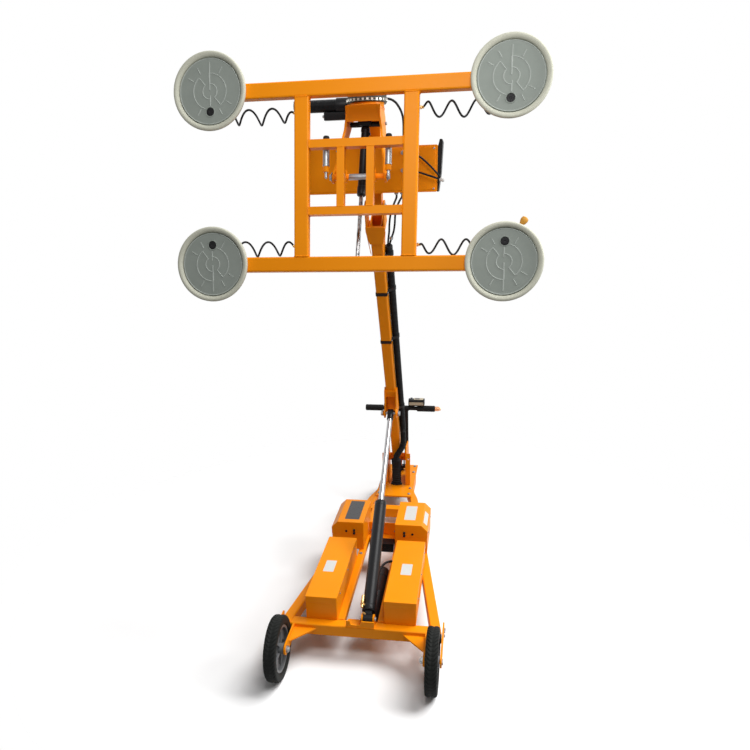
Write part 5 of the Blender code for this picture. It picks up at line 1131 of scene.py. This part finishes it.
def strap(up, height=0.020, thickness=0.0016):
    """A band round boom and sleeve: a rectangle and a half circle, offset by its thickness."""
    turn = np.linspace(-np.pi / 2, np.pi / 2, 17)
    bend = 0.0204
    loop = np.stack([SLEEVE_X + bend * np.cos(turn), SLEEVE_Y + bend * np.sin(turn)], 1)
    corners = [(-0.0303, 0.0503), (-0.0303, -0.0503), (0.0303, -0.0503), (0.0303, -0.016)]
    middle = np.vstack([corners, loop, [(0.0303, 0.040), (0.0303, 0.0503)]])
    outward = middle - np.array([0.010, 0.004])
    outward /= np.linalg.norm(outward, axis=1, keepdims=True)
    outer = middle + thickness * 1.3 * outward
    rows = [np.insert(inner, 2, level, axis=1) for inner, level in
            ((middle, up - height / 2), (outer, up - height / 2), (outer, up + height / 2),
             (middle, up + height / 2))]
    return grid(rows, closed_u=True)


STRAPS = (1.665, 1.446, 1.107, 0.518)
build("boom_straps", in_place([strap(up) for up in STRAPS], BOOM_ORIGIN, BOOM_LEAN), black_paint,
      "boom_arm", "black_paint")
pins = []
for up in STRAPS:
    pins += cap_screw((0.0302, -0.0330, up), (1, 0, 0), 0.0028)
for out in (1, -1):
    head_pin = (out * 0.0482, 0, 1.930)
    pins += [lathe([(0.0140, 0), (0.0200, 0), (0.0205, 0.0006), (0.0205, 0.0026), (0.0142, 0.0030)],
                   head_pin, (out, 0, 0), 40),
             lathe([(0.0142, 0), (0.0142, 0.0075), (0.0130, 0.0088), (0.0040, 0.0088),
                    (0.0030, 0.0078)], head_pin, (out, 0, 0), 40)]
    pins += bolt((out * 0.0465, -0.127, 0.589), (out, 0, 0), 0.0085)
pins += [lathe([(0.0080, 0), (0.0085, 0.0005), (0.0085, 0.0585), (0.0080, 0.059)],
               (-0.0295, -0.127, 0.589), (1, 0, 0), 32)]
build("boom_fasteners", in_place(pins, BOOM_ORIGIN, BOOM_LEAN), zinc, "boom_arm", "chrome_rod")


# The rubber gaiter through which the hoses leave the conduit for the mast's foot: a flat bellows
# between the cheeks, clamped to the conduit above and to a ring on the foot's plate below.

GAITER_WIDE, GAITER_DEEP = 0.031, 0.017
gaiter_route = smooth_path([(0, 0.7840, 0.3960), (0, 0.7990, 0.3690), (0, 0.8110, 0.3350),
                            (0, 0.8150, 0.2950), (0, 0.8120, 0.2500), (0, 0.8080, 0.1990)], 180)
along = np.gradient(gaiter_route, axis=0)
along /= np.linalg.norm(along, axis=1, keepdims=True)
square = np.cross(along, (1, 0, 0))
s = np.linspace(0, 1, 180)
GAITER_FOLDS = 16
swollen = (1 + 0.09 * np.cos(2 * np.pi * GAITER_FOLDS * s)) * np.clip(0.62 + 6 * s, 0, 1)
turn = np.linspace(0, 2 * np.pi, 40, endpoint=False)
section = (np.cos(turn)[None, :, None] * GAITER_WIDE * np.array([1.0, 0, 0])
           + np.sin(turn)[None, :, None] * GAITER_DEEP * square[:, None])
bellows = grid(gaiter_route[:, None] + swollen[:, None, None] * section)
gaiter = build("foot_gaiter", [bellows], hose_rubber, None, "hose_rubber")
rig.blend(gaiter, "boom_arm", "chassis", start=(0, 0.800, 0.370), end=(0, 0.808, 0.235))
build("foot_gaiter_ring", [prism(np.stack([0.0385 * np.cos(turn), 0.808 + 0.0245 * np.sin(turn)], 1),
                                 0.1972, 0.2050)], black_plastic, "chassis", "black_plastic", bevel=0.0010)


# The lift cylinder: a black barrel with a welded foot eye, two brass unions beside its foot, the
# upper one with a body that lies along the barrel, a screwed gland with spanner notches, and a
# hard-chromed rod with an eye.

LIFT_FOOT = np.array([0.04, -0.815, 0.222])
LIFT_HEAD = np.array([0, 0.4944, 0.8201])
lift_way = (LIFT_HEAD - LIFT_FOOT) / np.linalg.norm(LIFT_HEAD - LIFT_FOOT)
lift_reach = np.linalg.norm(LIFT_HEAD - LIFT_FOOT)
tube_side = [(0.0150, 0.0365), (0.0290, 0.0365), (0.0325, 0.0380), (0.0335, 0.0400),
             (0.0335, 0.0640), (0.0327, 0.0655), (0.0318, 0.0665), (0.0318, 0.6850),
             (0.0306, 0.6860), (0.0306, 0.6885), (0.0318, 0.6895), (0.0318, 0.7165),
             (0.0308, 0.7190), (0.0220, 0.7200), (0.0190, 0.7185), (0.0156, 0.7180),
             (0.0156, 0.6860), (0.0280, 0.6850), (0.0280, 0.0620), (0.0060, 0.0600)]
lift = [lathe(tube_side, LIFT_FOOT, lift_way, 72),
        lathe([(0.0116, -0.0216), (0.0205, -0.0218), (0.0218, -0.0208), (0.0218, 0.0208),
               (0.0205, 0.0218), (0.0116, 0.0216)], LIFT_FOOT, (1, 0, 0), 56, ring=True)]
shank = np.array([[-0.0150, 0.018], [0.0150, 0.018], [0.0190, 0.038], [-0.0190, 0.038]])
side_way = np.cross(lift_way, (1, 0, 0))
side_way /= np.linalg.norm(side_way)
block_rows = [LIFT_FOOT + x * np.array([1.0, 0, 0]) + shank[:, :1] * side_way * 0.9
              + shank[:, 1:] * lift_way for x in (-0.0170, 0.0170)]
lift.append(grid(block_rows))
turn = np.linspace(0, 2 * np.pi, 260)
across = np.array([1.0, 0, 0]) - lift_way * lift_way[0]
across /= np.linalg.norm(across)
seam = (LIFT_FOOT + 0.0370 * lift_way + 0.0290 * np.cos(turn)[:, None] * across
        + 0.0290 * np.sin(turn)[:, None] * np.cross(lift_way, across))
lift.append(sweep(seam, 0.0030 * (1 + 0.14 * np.sin(70 * turn)), 8))
for i in range(4):
    angle = 2 * np.pi * (i + 0.5) / 4
    notch = 0.0308 * (np.cos(angle) * across + np.sin(angle) * np.cross(lift_way, across))
    lift.append(lathe([(0.0030, -0.004), (0.0034, -0.0036), (0.0034, 0.0036), (0.0030, 0.004)],
                      LIFT_FOOT + 0.7108 * lift_way + notch * 0.985, lift_way, 12))
build("lift_cylinder_barrel", lift, black_paint, "lift_cylinder", "black_paint", "lift_barrel",
      bevel=0.0005)

rod = [lathe([(0.0135, 0.6215), (0.0150, 0.6230), (0.0150, lift_reach - 0.042)], LIFT_FOOT, lift_way, 56)]
# Its grey shade is the dark end of this rod's painted reflections.
build("lift_cylinder_rod", rod, hard_chrome("lift_chrome", 65.5, (0.26, 0.26, 0.27, 1)),
      "lift_piston", "chrome_rod", "lift_rod")
rod_eye = [lathe([(0.0100, -0.0162), (0.0245, -0.0168), (0.0258, -0.0158), (0.0258, 0.0158),
                  (0.0245, 0.0168), (0.0100, 0.0162)], LIFT_HEAD, (1, 0, 0), 56, ring=True),
           lathe([(0.0120, lift_reach - 0.060), (0.0185, lift_reach - 0.058), (0.0190, lift_reach - 0.056),
                  (0.0190, lift_reach - 0.020)], LIFT_FOOT, lift_way, 40)]
build("lift_cylinder_rod_eye", rod_eye, black_paint, "lift_piston", "black_paint")

upward = -side_way if side_way[2] < 0 else side_way
fittings = []
way = upward * math.cos(0.75) - across * math.sin(0.75)
for s, seat_radius, size in ((0.014, 0.0212, 1.0), (0.058, 0.0331, 1.35)):
    seat = LIFT_FOOT + s * lift_way + way * seat_radius
    nut = size * np.array([(0.0066, 0), (0.0068, 0.0005), (0.0068, 0.0060), (0.0062, 0.0066)])
    union = size * np.array([(0.0046, 0.0064), (0.0046, 0.0100), (0.0058, 0.0104), (0.0058, 0.0140),
                             (0.0048, 0.0146), (0.0024, 0.0146)])
    fittings += [lathe(nut, seat, way, 6), lathe(union, seat, way, 28)]
    if size > 1:
        fittings.append(lathe([(0.0050, -0.020), (0.0062, -0.0195), (0.0064, 0.010), (0.0084, 0.011),
                               (0.0086, 0.018), (0.0078, 0.0188), (0.0078, 0.046), (0.0066, 0.047)],
                              seat + 0.0125 * way, lift_way, 24))
build("lift_cylinder_fittings", fittings, brass, "lift_cylinder", "chrome_rod")


# The chassis: a front beam, two long rails that close in towards the mast, two inner rails and
# two cross members of square tube. The cylinder's saddle, the wheel carriers and the mast's foot
# are welded or bolted on; CAD gives their shapes, and the seams, bolts and plugs are added here.

RAIL_X, RAIL_TOP = 0.368, 0.187
BEAM_FRONT, BEAM_BACK = -0.847, -0.787


def rail_inside(y):
    """How far out a side rail's inner face lies: its middle falls evenly from 0.368 at the front."""
    return RAIL_X - (RAIL_X - 0.140) * (y + 0.840) / 1.435 - 0.0262


front_x, back_x = rail_inside(BEAM_FRONT), rail_inside(BEAM_BACK)
chassis_beads = both_sides([
    ((front_x, BEAM_FRONT + 0.004, RAIL_TOP), (back_x, BEAM_BACK - 0.004, RAIL_TOP), 0.0026),
    ((front_x, BEAM_FRONT, 0.131), (front_x, BEAM_FRONT, 0.184), 0.0024),
    ((0.080, BEAM_BACK + 0.0005, 0.150), (0.080, BEAM_BACK + 0.0005, 0.184), 0.0018),
    ((0.120, BEAM_BACK + 0.0005, 0.150), (0.120, BEAM_BACK + 0.0005, 0.184), 0.0018),
    ((0.083, BEAM_BACK + 0.0003, RAIL_TOP), (0.117, BEAM_BACK + 0.0003, RAIL_TOP), 0.0020),
    ((0.0797, 0.048, RAIL_TOP - 0.0005), (0.0797, 0.102, RAIL_TOP - 0.0005), 0.0020),
    ((0.324, -0.8472, 0.132), (0.324, -0.8472, 0.183), 0.0022),
    ((0.318, -0.8478, 0.1685), (0.222, -0.8478, 0.1685), 0.0020),
    ((0.3165, -0.852, 0.1690), (0.3165, -0.958, 0.1690), 0.0018),
    ((0.0705, 0.800, 0.1980), (0.0705, 0.992, 0.1980), 0.0026),
    ((0.0615, 0.800, 0.1980), (0.0615, 0.992, 0.1980), 0.0026),
    ((0.0710, 0.7955, 0.202), (0.0710, 0.7955, 0.424), 0.0018),
    ((0.072, 0.7950, 0.1980), (0.094, 0.7950, 0.1980), 0.0022),
    ((rail_inside(0.435), 0.439, RAIL_TOP), (rail_inside(0.495), 0.491, RAIL_TOP), 0.0024)])
chassis_beads += [weld((-0.062, y, 0.1880), (0.077, y, 0.1880), 0.0018) for y in (-0.8462, -0.7878)]
build("chassis_welds", chassis_beads, orange_paint, "chassis", "orange_paint")

WHEEL_Y, WHEEL_Z = -1.005, 0.155
chassis_bolts = []
for out in (1, -1):
    outward = (out, 0, 0)
    for y, z in ((-0.800, 0.145), (-0.800, 0.169), (-0.765, 0.157)):
        chassis_bolts += bolt((out * 0.4021, y, z), outward, 0.0042)
    chassis_bolts += [lathe([(0.0165, 0), (0.0172, 0.0005), (0.0172, 0.0090), (0.0160, 0.0100),
                             (0.0110, 0.0104), (0.0105, 0.0150), (0.0060, 0.0158)],
                            (out * 0.3168, WHEEL_Y, WHEEL_Z), (-out, 0, 0), 6),
                      lathe([(0.0150, 0), (0.0155, 0.0004), (0.0155, 0.0052), (0.0142, 0.0059),
                             (0.0098, 0.0059)], (out * 0.4020, WHEEL_Y, WHEEL_Z), outward, 6)]
    for y in (0.650, 0.740, 1.020, 1.130):
        chassis_bolts += bolt((out * 0.100, y, 0.1974), (0, 0, 1), 0.0050)
    mast_pin = (out * 0.0702, 0.895, 0.370)
    chassis_bolts += [lathe([(0.0160, 0), (0.0245, 0), (0.0250, 0.0006), (0.0250, 0.0030),
                             (0.0162, 0.0034)], mast_pin, outward, 48),
                      lathe([(0.0161, 0), (0.0161, 0.0103), (0.0148, 0.0115), (0.0050, 0.0115),
                             (0.0040, 0.0100)], mast_pin, outward, 48)]
for out in (1, -1):
    saddle_pin = (0.04 + out * 0.0322, -0.815, 0.222)
    chassis_bolts += [lathe([(0.0102, 0), (0.0102, 0.0062), (0.0092, 0.0070), (0.0040, 0.0070)],
                            saddle_pin, (out, 0, 0), 40),
                      lathe([(0.0103, 0.0026), (0.0122, 0.0028), (0.0122, 0.0038), (0.0103, 0.0040)],
                            saddle_pin, (out, 0, 0), 40)]
build("chassis_bolts", chassis_bolts, zinc, "chassis", "chrome_rod")

rail_plugs = []
for out in (1, -1):
    outline = rounded(out * RAIL_X - 0.0235, out * RAIL_X + 0.0235, 0.1295, 0.1845, 0.005)
    rail_plugs.append(prism(outline, -0.8432, -0.8404, "y"))
build("rail_plugs", rail_plugs, black_plastic, "chassis", "black_plastic", bevel=0.0007)


# The two battery boxes in front and the two cabinets behind them. Each is folded from sheet
# steel with a lid that laps over its body, held by button screws. Plain pale cards lie on the
# lids, and a plain dark plate on the left cabinet.


def card(name, colour, roughness):
    """A card under clear film: its colour with faint handling marks."""
    start, shader, made = finish_of(name, colour, roughness)
    where = start.node("ShaderNodeTexCoord", output=3)
    marks = start.node("ShaderNodeTexNoise", {"Vector": where, "Scale": 90.0, "Detail": 6.0})
    darker = tuple(0.86 * c for c in colour)
    wire(start, shader, Base_Color=marks.blend((*colour, 1), (*darker, 1)),
         Roughness=roughness - 0.1 + marks * 0.2)
    return made


white_card = card("white_card", (0.64, 0.64, 0.62), 0.40)
dark_plate = card("dark_plate", (0.022, 0.022, 0.024), 0.30)
BOX_FRONT, BOX_BACK = -0.800, -0.198
for side, out in (("left", -1), ("right", 1)):
    near, far = sorted((out * 0.113, out * 0.270))
    body = prism(rounded(near + 0.0014, far - 0.0014, BOX_FRONT + 0.0014, BOX_BACK - 0.0014, 0.004),
                 0.1873, 0.3000, "z")
    lid = prism(rounded(near, far, BOX_FRONT, BOX_BACK, 0.005), 0.2780, 0.3130, "z")
    build(f"battery_case_{side}", [body, lid], orange_paint, "chassis", "housing",
          f"battery_box_{side}", bevel=0.0022)
    screws = []
    for y in (-0.72, -0.50, -0.28):
        for x, way in ((near - 0.0002, -1), (far + 0.0002, 1)):
            screws += cap_screw((x, y, 0.2900), (way, 0, 0), 0.0022)
    build(f"battery_case_screws_{side}", screws, zinc, "chassis", "chrome_rod")
build("battery_case_labels",
      [prism(rounded(-0.230, -0.176, -0.566, -0.456, 0.004), 0.3131, 0.3134),
       prism(rounded(0.168, 0.222, -0.552, -0.446, 0.004), 0.3131, 0.3134)],
      white_card, "chassis", "housing")

CAB_FRONT, CAB_BACK = -0.105, 0.195
CAB_TOP, CAB_CHAMFER = 0.360, 0.035
CAB_NEAR, CAB_FAR = 0.0900, 0.2750
GLAND_X = 0.1440
for side, out in (("left", -1), ("right", 1)):
    low_part = [(out * 0.0914, 0.1873), (out * 0.2736, 0.1873), (out * 0.2736, 0.3050),
                (out * 0.0914, 0.3050)]
    lid_part = [(out * CAB_NEAR, 0.2830), (out * CAB_FAR, 0.2830),
                (out * CAB_FAR, CAB_TOP - CAB_CHAMFER), (out * (CAB_FAR - CAB_CHAMFER), CAB_TOP),
                (out * CAB_NEAR, CAB_TOP)]
    build(f"cabinet_case_{side}", [prism(low_part, CAB_FRONT + 0.0014, CAB_BACK - 0.0014, "y"),
                                   prism(lid_part, CAB_FRONT, CAB_BACK, "y")],
          orange_paint, "chassis", "housing", f"cabinet_{side}", bevel=0.0022)
    trim = []
    for y in (-0.050, 0.140):
        trim += cap_screw((out * 0.2751, y, 0.2950), (out, 0, 0), 0.0024)
    build(f"cabinet_screws_{side}", trim, zinc, "chassis", "chrome_rod")
    gland = [lathe([(0.0062, 0), (0.0070, 0.0005), (0.0070, 0.0045), (0.0058, 0.0060), (0.0054, 0.0105),
                    (0.0030, 0.0120)], (out * GLAND_X, CAB_FRONT - 0.0001, z), (0, -1, 0), 28)
             for z in (0.2925, 0.3105)]
    gland += [prism(rounded(out * GLAND_X - 0.0035, out * GLAND_X + 0.0035, 0.2920, 0.3110, 0.002),
                    CAB_FRONT - 0.0040, CAB_FRONT - 0.0001, "y"),
              lathe([(0.0044, 0), (0.0066, 0.0004), (0.0070, 0.0012), (0.0050, 0.0018)],
                    (out * 0.1900, CAB_FRONT - 0.0001, 0.3030), (0, -1, 0), 32)]
    build(f"cabinet_gland_{side}", gland, black_plastic, "chassis", "black_plastic")
build("cabinet_plate", [prism(rounded(-0.204, -0.120, -0.066, 0.172, 0.006), 0.3601, 0.3606)],
      dark_plate, "chassis", "housing")
lean_label = [np.array([[0.2475, y, 0.3528], [0.2680, y, 0.3323], [0.2682, y, 0.3325],
                        [0.2477, y, 0.3530]]) for y in (-0.048, 0.098)]
build("cabinet_labels", [prism(rounded(0.136, 0.200, -0.040, 0.138, 0.004), 0.3601, 0.3604),
                         grid(lean_label)], white_card, "chassis", "housing")


# The oil tank between the rails: a black drum with dished ends, a welded seam, two holding bands
# and a filler cap.

TANK_X, TANK_Z, TANK_FRONT = 0.0417, 0.148, -0.745
tank = [lathe([(0.0100, 0), (0.0220, 0.0010), (0.0320, 0.0040), (0.0368, 0.0090), (0.0376, 0.0140),
               (0.0372, 0.0180), (0.0376, 0.0200), (0.0376, 0.2380), (0.0380, 0.2390),
               (0.0380, 0.2420), (0.0376, 0.2430), (0.0376, 0.4600), (0.0372, 0.4620),
               (0.0376, 0.4660), (0.0368, 0.4710), (0.0320, 0.4760), (0.0220, 0.4790),
               (0.0100, 0.4800)], (TANK_X, TANK_FRONT, TANK_Z), (0, 1, 0), 72)]
for y in (-0.660, -0.350):
    tank.append(lathe([(0.0374, -0.009), (0.03795, -0.0085), (0.03795, 0.0085), (0.0374, 0.009)],
                      (TANK_X, y, TANK_Z), (0, 1, 0), 72, ring=True))
tank.append(lathe([(0.0110, 0), (0.0112, 0.008), (0.0150, 0.0085), (0.0152, 0.0160), (0.0140, 0.0175),
                   (0.0040, 0.0180)], (TANK_X, -0.690, 0.1840), (0, 0, 1), 24))
build("oil_tank", tank, black_paint, "chassis", "black_paint", "hydraulic_tank")


# The control valve block between the rails: a black block with cooling ribs on its front, before
# the middle cross member. Behind it an orange plate stands between the two cabinets.

RIB_PITCH = 0.0104
rib_x = np.linspace(-0.062, 0.062, 249)
rib_front = np.stack([rib_x, -0.026 - 0.0022 * (np.sin(2 * np.pi * rib_x / RIB_PITCH) > 0)], 1)
block = [prism(rounded(-0.070, 0.072, -0.024, 0.044, 0.004), 0.1330, 0.1860),
         prism(np.vstack([rib_front, [(0.062, -0.023), (-0.062, -0.023)]]), 0.1380, 0.1820)]
build("valve_block", block, black_paint, "chassis", "black_paint")
plate = prism(rounded(-0.0885, 0.0885, 0.1875, 0.2620, 0.006), 0.0960, 0.1010, "y")
build("valve_block_plate", [plate], orange_paint, "chassis", "orange_paint", bevel=0.0008)
plate_bolts = []
for x in (-0.070, 0.070):
    plate_bolts += bolt((x, 0.0958, 0.2080), (0, -1, 0), 0.0040)
for y in (-0.150, -0.020):
    plate_bolts += bolt((-0.100, y, 0.1872), (0, 0, 1), 0.0045)
build("valve_block_bolts", plate_bolts, zinc, "chassis", "chrome_rod")


# The front wheels: solid black rubber tyres with slanting tread grooves on grey cast rims with
# five windows, a rib between each two windows and a ball bearing in each hub. CAD gives the rims.


def tyre_ring(centre):
    """A superellipse section swept round the axle, with slanting grooves cut in its tread."""
    angle = np.linspace(0, 2 * np.pi, 384, endpoint=False)[:, None]
    turn = np.linspace(0, 2 * np.pi, 72, endpoint=False)[None]
    c, s = np.cos(turn), np.sin(turn)
    x = 0.0288 * np.sign(c) * np.abs(c) ** 0.50
    radius = 0.1327 + 0.0221 * np.sign(s) * np.abs(s) ** 0.55
    tread = np.clip((radius - 0.1475) / 0.003, 0, 1)
    slanting = np.abs(((48 * angle / (2 * np.pi) + np.abs(x) / 0.016) % 1) - 0.5)
    groove = np.clip((0.17 - slanting) / 0.06, 0, 1) * np.clip((np.abs(x) - 0.004) / 0.002, 0, 1)
    centre_line = np.clip((0.0022 - np.abs(x)) / 0.0006, 0, 1)
    radius = radius - 0.0036 * tread * np.maximum(groove, centre_line)
    ring_x = np.clip(1 - np.abs(radius - 0.1370) / 0.0012, 0, 1) * (np.abs(x) > 0.0270)
    x = x + 0 * angle + np.sign(x) * 0.0006 * ring_x
    return grid(np.asarray(centre) + np.stack([np.clip(x, -0.029, 0.029), radius * np.cos(angle),
                                               radius * np.sin(angle)], -1), closed_u=True)


tyre_rubber = rubber("tyre_rubber", (0.009, 0.010, 0.009), 0.66, 0.03)
for side, out in (("left", -1), ("right", 1)):
    centre = np.array([out * 0.36, WHEEL_Y, WHEEL_Z])
    body = f"front_wheel_{side}"
    build(f"solid_tyre_{side}", [tyre_ring(centre)], tyre_rubber, body, "tyre_rubber", f"tyre_{side}")
    cast = [lathe([(0.1000, -0.0205), (0.1020, -0.0213), (0.1085, -0.0213), (0.1100, -0.0225),
                   (0.1100, -0.0208), (0.1060, -0.0205)], centre, (way, 0, 0), 96, ring=True)
            for way in (1, -1)]
    rib = np.array([[0.0060, 0.028], [0.0060, 0.096], [0.0100, 0.098], [0.0170, 0.027]])
    for i in range(5):
        rib_turn = 2 * np.pi * i / 5 + np.pi / 5
        outward = np.array([0, -math.sin(rib_turn), math.cos(rib_turn)])
        sideways = np.array([0, math.cos(rib_turn), math.sin(rib_turn)])
        for face in (-1, 1):
            rows = [centre + face * rib[:, :1] * np.array([1.0, 0, 0]) + rib[:, 1:] * outward
                    + w * sideways for w in (-0.0028, 0.0028)]
            cast.append(grid(rows))
    build(f"rim_ribs_{side}", cast, rim_paint, body, "rim", bevel=0.0008)
    bearing = [lathe([(0.0120, 0.0290), (0.0150, 0.0290), (0.0152, 0.0306), (0.0165, 0.0309),
                      (0.0215, 0.0309), (0.0225, 0.0306), (0.0226, 0.0290), (0.0240, 0.0290),
                      (0.0242, 0.0300)], centre, (way, 0, 0), 48) for way in (1, -1)]
    build(f"hub_bearing_{side}", bearing, zinc, body, "rim")


# The rear drive unit under the mast: a black fork on a turntable with a rubber-tyred driving
# wheel, and the ears that hold the tiller's pin.

DRIVE = np.array([0, 1.065, 0.080])
angle = np.linspace(0, 2 * np.pi, 300, endpoint=False)[:, None]
turn = np.linspace(0, 2 * np.pi, 48, endpoint=False)[None]
c, s = np.cos(turn), np.sin(turn)
x = 0.0278 * np.sign(c) * np.abs(c) ** 0.45
radius = 0.0680 + 0.0119 * np.sign(s) * np.abs(s) ** 0.55
ribs = np.clip((radius - 0.0770) / 0.0015, 0, 1) * np.clip(
    (0.0013 - np.abs((np.abs(x) % 0.0104) - 0.0052)) / 0.0005, 0, 1)
radius = radius - 0.0022 * ribs + 0 * angle
drive_tyre = grid(DRIVE + np.stack([x + 0 * angle, radius * np.cos(angle), radius * np.sin(angle)], -1),
                  closed_u=True)
build("driving_tyre", [drive_tyre], tyre_rubber, "rear_wheel", "tyre_rubber", "drive_wheel")
disc = [lathe([(0.0104, -0.0272), (0.0200, -0.0274), (0.0210, -0.0264), (0.0230, -0.0180),
               (0.0480, -0.0150), (0.0520, -0.0235), (0.0575, -0.0240), (0.0575, 0.0240),
               (0.0520, 0.0235), (0.0480, 0.0150), (0.0230, 0.0180), (0.0210, 0.0264),
               (0.0200, 0.0274), (0.0104, 0.0272)], DRIVE, (1, 0, 0), 72, ring=True)]
build("driving_wheel_disc", disc, rim_paint, "rear_wheel", "tyre_rubber")
drive_bolts = []
for out in (1, -1):
    drive_bolts += [lathe([(0.0102, 0), (0.0150, 0.0002), (0.0154, 0.0008), (0.0154, 0.0036),
                           (0.0146, 0.0040), (0.0102, 0.0040)], (out * 0.0402, DRIVE[1], DRIVE[2]),
                          (out, 0, 0), 6)]
    for y in (-0.026, 0.026):
        drive_bolts += cap_screw((out * 0.0402, DRIVE[1] + y, 0.140), (out, 0, 0), 0.0032)
for i in range(10):
    turn_at = 2 * np.pi * (i + 0.5) / 10
    place = (0.078 * math.cos(turn_at), DRIVE[1] + 0.078 * math.sin(turn_at), 0.1688)
    if abs(place[0]) > 0.048:
        drive_bolts += cap_screw(place, (0, 0, -1), 0.0026)
for out in (1, -1):
    drive_bolts += [lathe([(0.0081, 0), (0.0112, 0.0004), (0.0114, 0.0014), (0.0081, 0.0018)],
                          (0.045 + out * 0.0216, DRIVE[1], 0.300), (out, 0, 0), 32)]
build("drive_unit_bolts", drive_bolts, zinc, "steering", "chrome_rod")


# The tiller: a steel handlebar with ribbed rubber grips on a black column, with a copper-coloured
# terminal at its right end, an instrument with a beige face, a thumb throttle and a horn button.

BAR_Y, BAR_Z = 1.045, 0.675
grip_rubber = rubber("grip_rubber", (0.011, 0.011, 0.011), 0.60, 0.03)


def grip(start, length, steps=72):
    """A ribbed sleeve: rings every 5 mm, broken by two flats, between two rounded plain ends."""
    s = np.linspace(0, 1, 140)[:, None]
    angle = np.linspace(0, 2 * np.pi, steps, endpoint=False)[None]
    along = s * length
    ends = np.clip(np.minimum(s, 1 - s) / 0.03, 0, 1) ** 0.5
    ribbed = (np.cos(2 * np.pi * along / 0.0050) * (s > 0.07) * (s < 0.93))
    radius = 0.0170 + 0.0050 * ends * (0.84 + 0.16 * ribbed * (np.abs(np.sin(angle)) > 0.2))
    return grid(np.stack([start + along + 0 * angle, BAR_Y + radius * np.cos(angle),
                          BAR_Z + radius * np.sin(angle)], -1))


build("tiller_grips", [grip(-0.2410, 0.1250), grip(0.1200, 0.1250)], grip_rubber, "tiller",
      "grip_rubber", "tiller_bar")
build("tiller_handlebar", [lathe([(0.0135, -0.1165), (0.0140, -0.1160), (0.0140, 0.1200),
                                  (0.0135, 0.1205)], (0, BAR_Y, BAR_Z), (1, 0, 0), 48)],
      black_paint, "tiller", "black_paint")
copper = bare_metal("copper_end", (0.50, 0.22, 0.10), (0.78, 0.42, 0.24), 0.35, 120)
build("tiller_right_terminal", [lathe([(0.0090, 0.2440), (0.0152, 0.2450), (0.0160, 0.2462),
                                       (0.0160, 0.2700), (0.0146, 0.2716), (0.0120, 0.2722),
                                       (0.0120, 0.2820), (0.0108, 0.2844), (0.0040, 0.2850)],
                                      (0, BAR_Y, BAR_Z), (1, 0, 0), 40)], copper, "tiller",
      "grip_rubber")
clamp_screws = cap_screw((0.0450, BAR_Y - 0.0186, BAR_Z - 0.004), (0, -1, 0), 0.0026)
for out in (1, -1):
    clamp_screws += [lathe([(0.0150, 0), (0.0186, 0.0004), (0.0186, 0.0050), (0.0150, 0.0056)],
                           (0.045 + out * 0.0134, BAR_Y, BAR_Z), (out, 0, 0), 48)]
build("tiller_clamp_rings", clamp_screws, black_paint, "tiller", "black_paint")

BOX_X0, BOX_X1 = 0.062, 0.172
HORN_X = BOX_X0 + 0.020
half = np.linspace(0, np.pi, 25)
dome = np.stack([BAR_Y - 0.0300 * np.cos(half), 0.7300 + 0.0150 * np.sin(half) ** 0.6], 1)
case = [prism(np.vstack([[(BAR_Y + 0.0300, 0.7040), (BAR_Y + 0.0260, 0.6995), (BAR_Y - 0.0260, 0.6995),
                          (BAR_Y - 0.0300, 0.7040)], dome]), BOX_X0, BOX_X1, "x"),
        prism(rounded(BAR_Y - 0.0120, BAR_Y + 0.0120, 0.6894, 0.7010, 0.002), BOX_X0 + 0.002,
              BOX_X0 + 0.042, "x")]
build("instrument_case", case, black_plastic, "tiller", "black_plastic", "instrument", bevel=0.0012)
beige = rubber("beige_plastic", (0.50, 0.44, 0.33), 0.45, 0.05)
build("instrument_face", [prism(rounded(BOX_X0 + 0.036, BOX_X1 - 0.008, BAR_Y - 0.021, BAR_Y + 0.021,
                                        0.004), 0.7442, 0.7454),
                          prism(rounded(BOX_X0 + 0.006, BOX_X1 - 0.006, 0.7075, 0.7285, 0.004),
                                BAR_Y - 0.0312, BAR_Y - 0.0298, "y")], beige, "tiller", "black_plastic",
      bevel=0.0004)
build("instrument_window", [prism(rounded(BOX_X0 + 0.044, BOX_X1 - 0.034, BAR_Y - 0.013, BAR_Y + 0.013,
                                          0.002), 0.7453, 0.7458)], dark_plate, "tiller",
      "black_plastic")
collar = [lathe([(0.0084, 0), (0.0118, 0.0002), (0.0122, 0.0010), (0.0122, 0.0018), (0.0112, 0.0024),
                 (0.0084, 0.0024)], (HORN_X, BAR_Y, 0.7449), (0, 0, 1), 40, ring=True)]
build("horn_button_collar", collar, zinc, "tiller", "chrome_rod")
build("horn_push", [lathe([(0.0078, -0.0056), (0.0079, 0.0050), (0.0074, 0.0062), (0.0060, 0.0069),
                           (0.0020, 0.0070)], (HORN_X, BAR_Y, 0.7453), (0, 0, 1), 36)],
      black_plastic, "horn", "black_plastic", "horn_button")

THROTTLE_X, THROTTLE_BORE = -0.102, 0.0146
turn = np.linspace(0, 2 * np.pi, 72, endpoint=False)
outer = 0.0205 + 0.0130 * np.clip(np.cos(turn), 0, 1) ** 6
paddle = []
for x, size in ((-0.0090, 0.90), (-0.0074, 1.0), (0.0074, 1.0), (0.0090, 0.90), (0.0090, 0), (-0.0090, 0)):
    edge = THROTTLE_BORE + (outer - THROTTLE_BORE) * size
    paddle.append(np.stack([THROTTLE_X + x + 0 * turn, BAR_Y - edge * np.sin(turn),
                            BAR_Z + edge * np.cos(turn)], 1))
build("throttle_paddle", [grid(paddle, closed_u=True)], black_plastic, "thumb_throttle",
      "black_plastic", "throttle")

now_low, now_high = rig.bounds()
with open("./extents.json", "w") as sizes:
    json.dump({"cad": [list(cad_low), list(cad_high)], "now": [list(now_low), list(now_high)]}, sizes,
              indent=1)
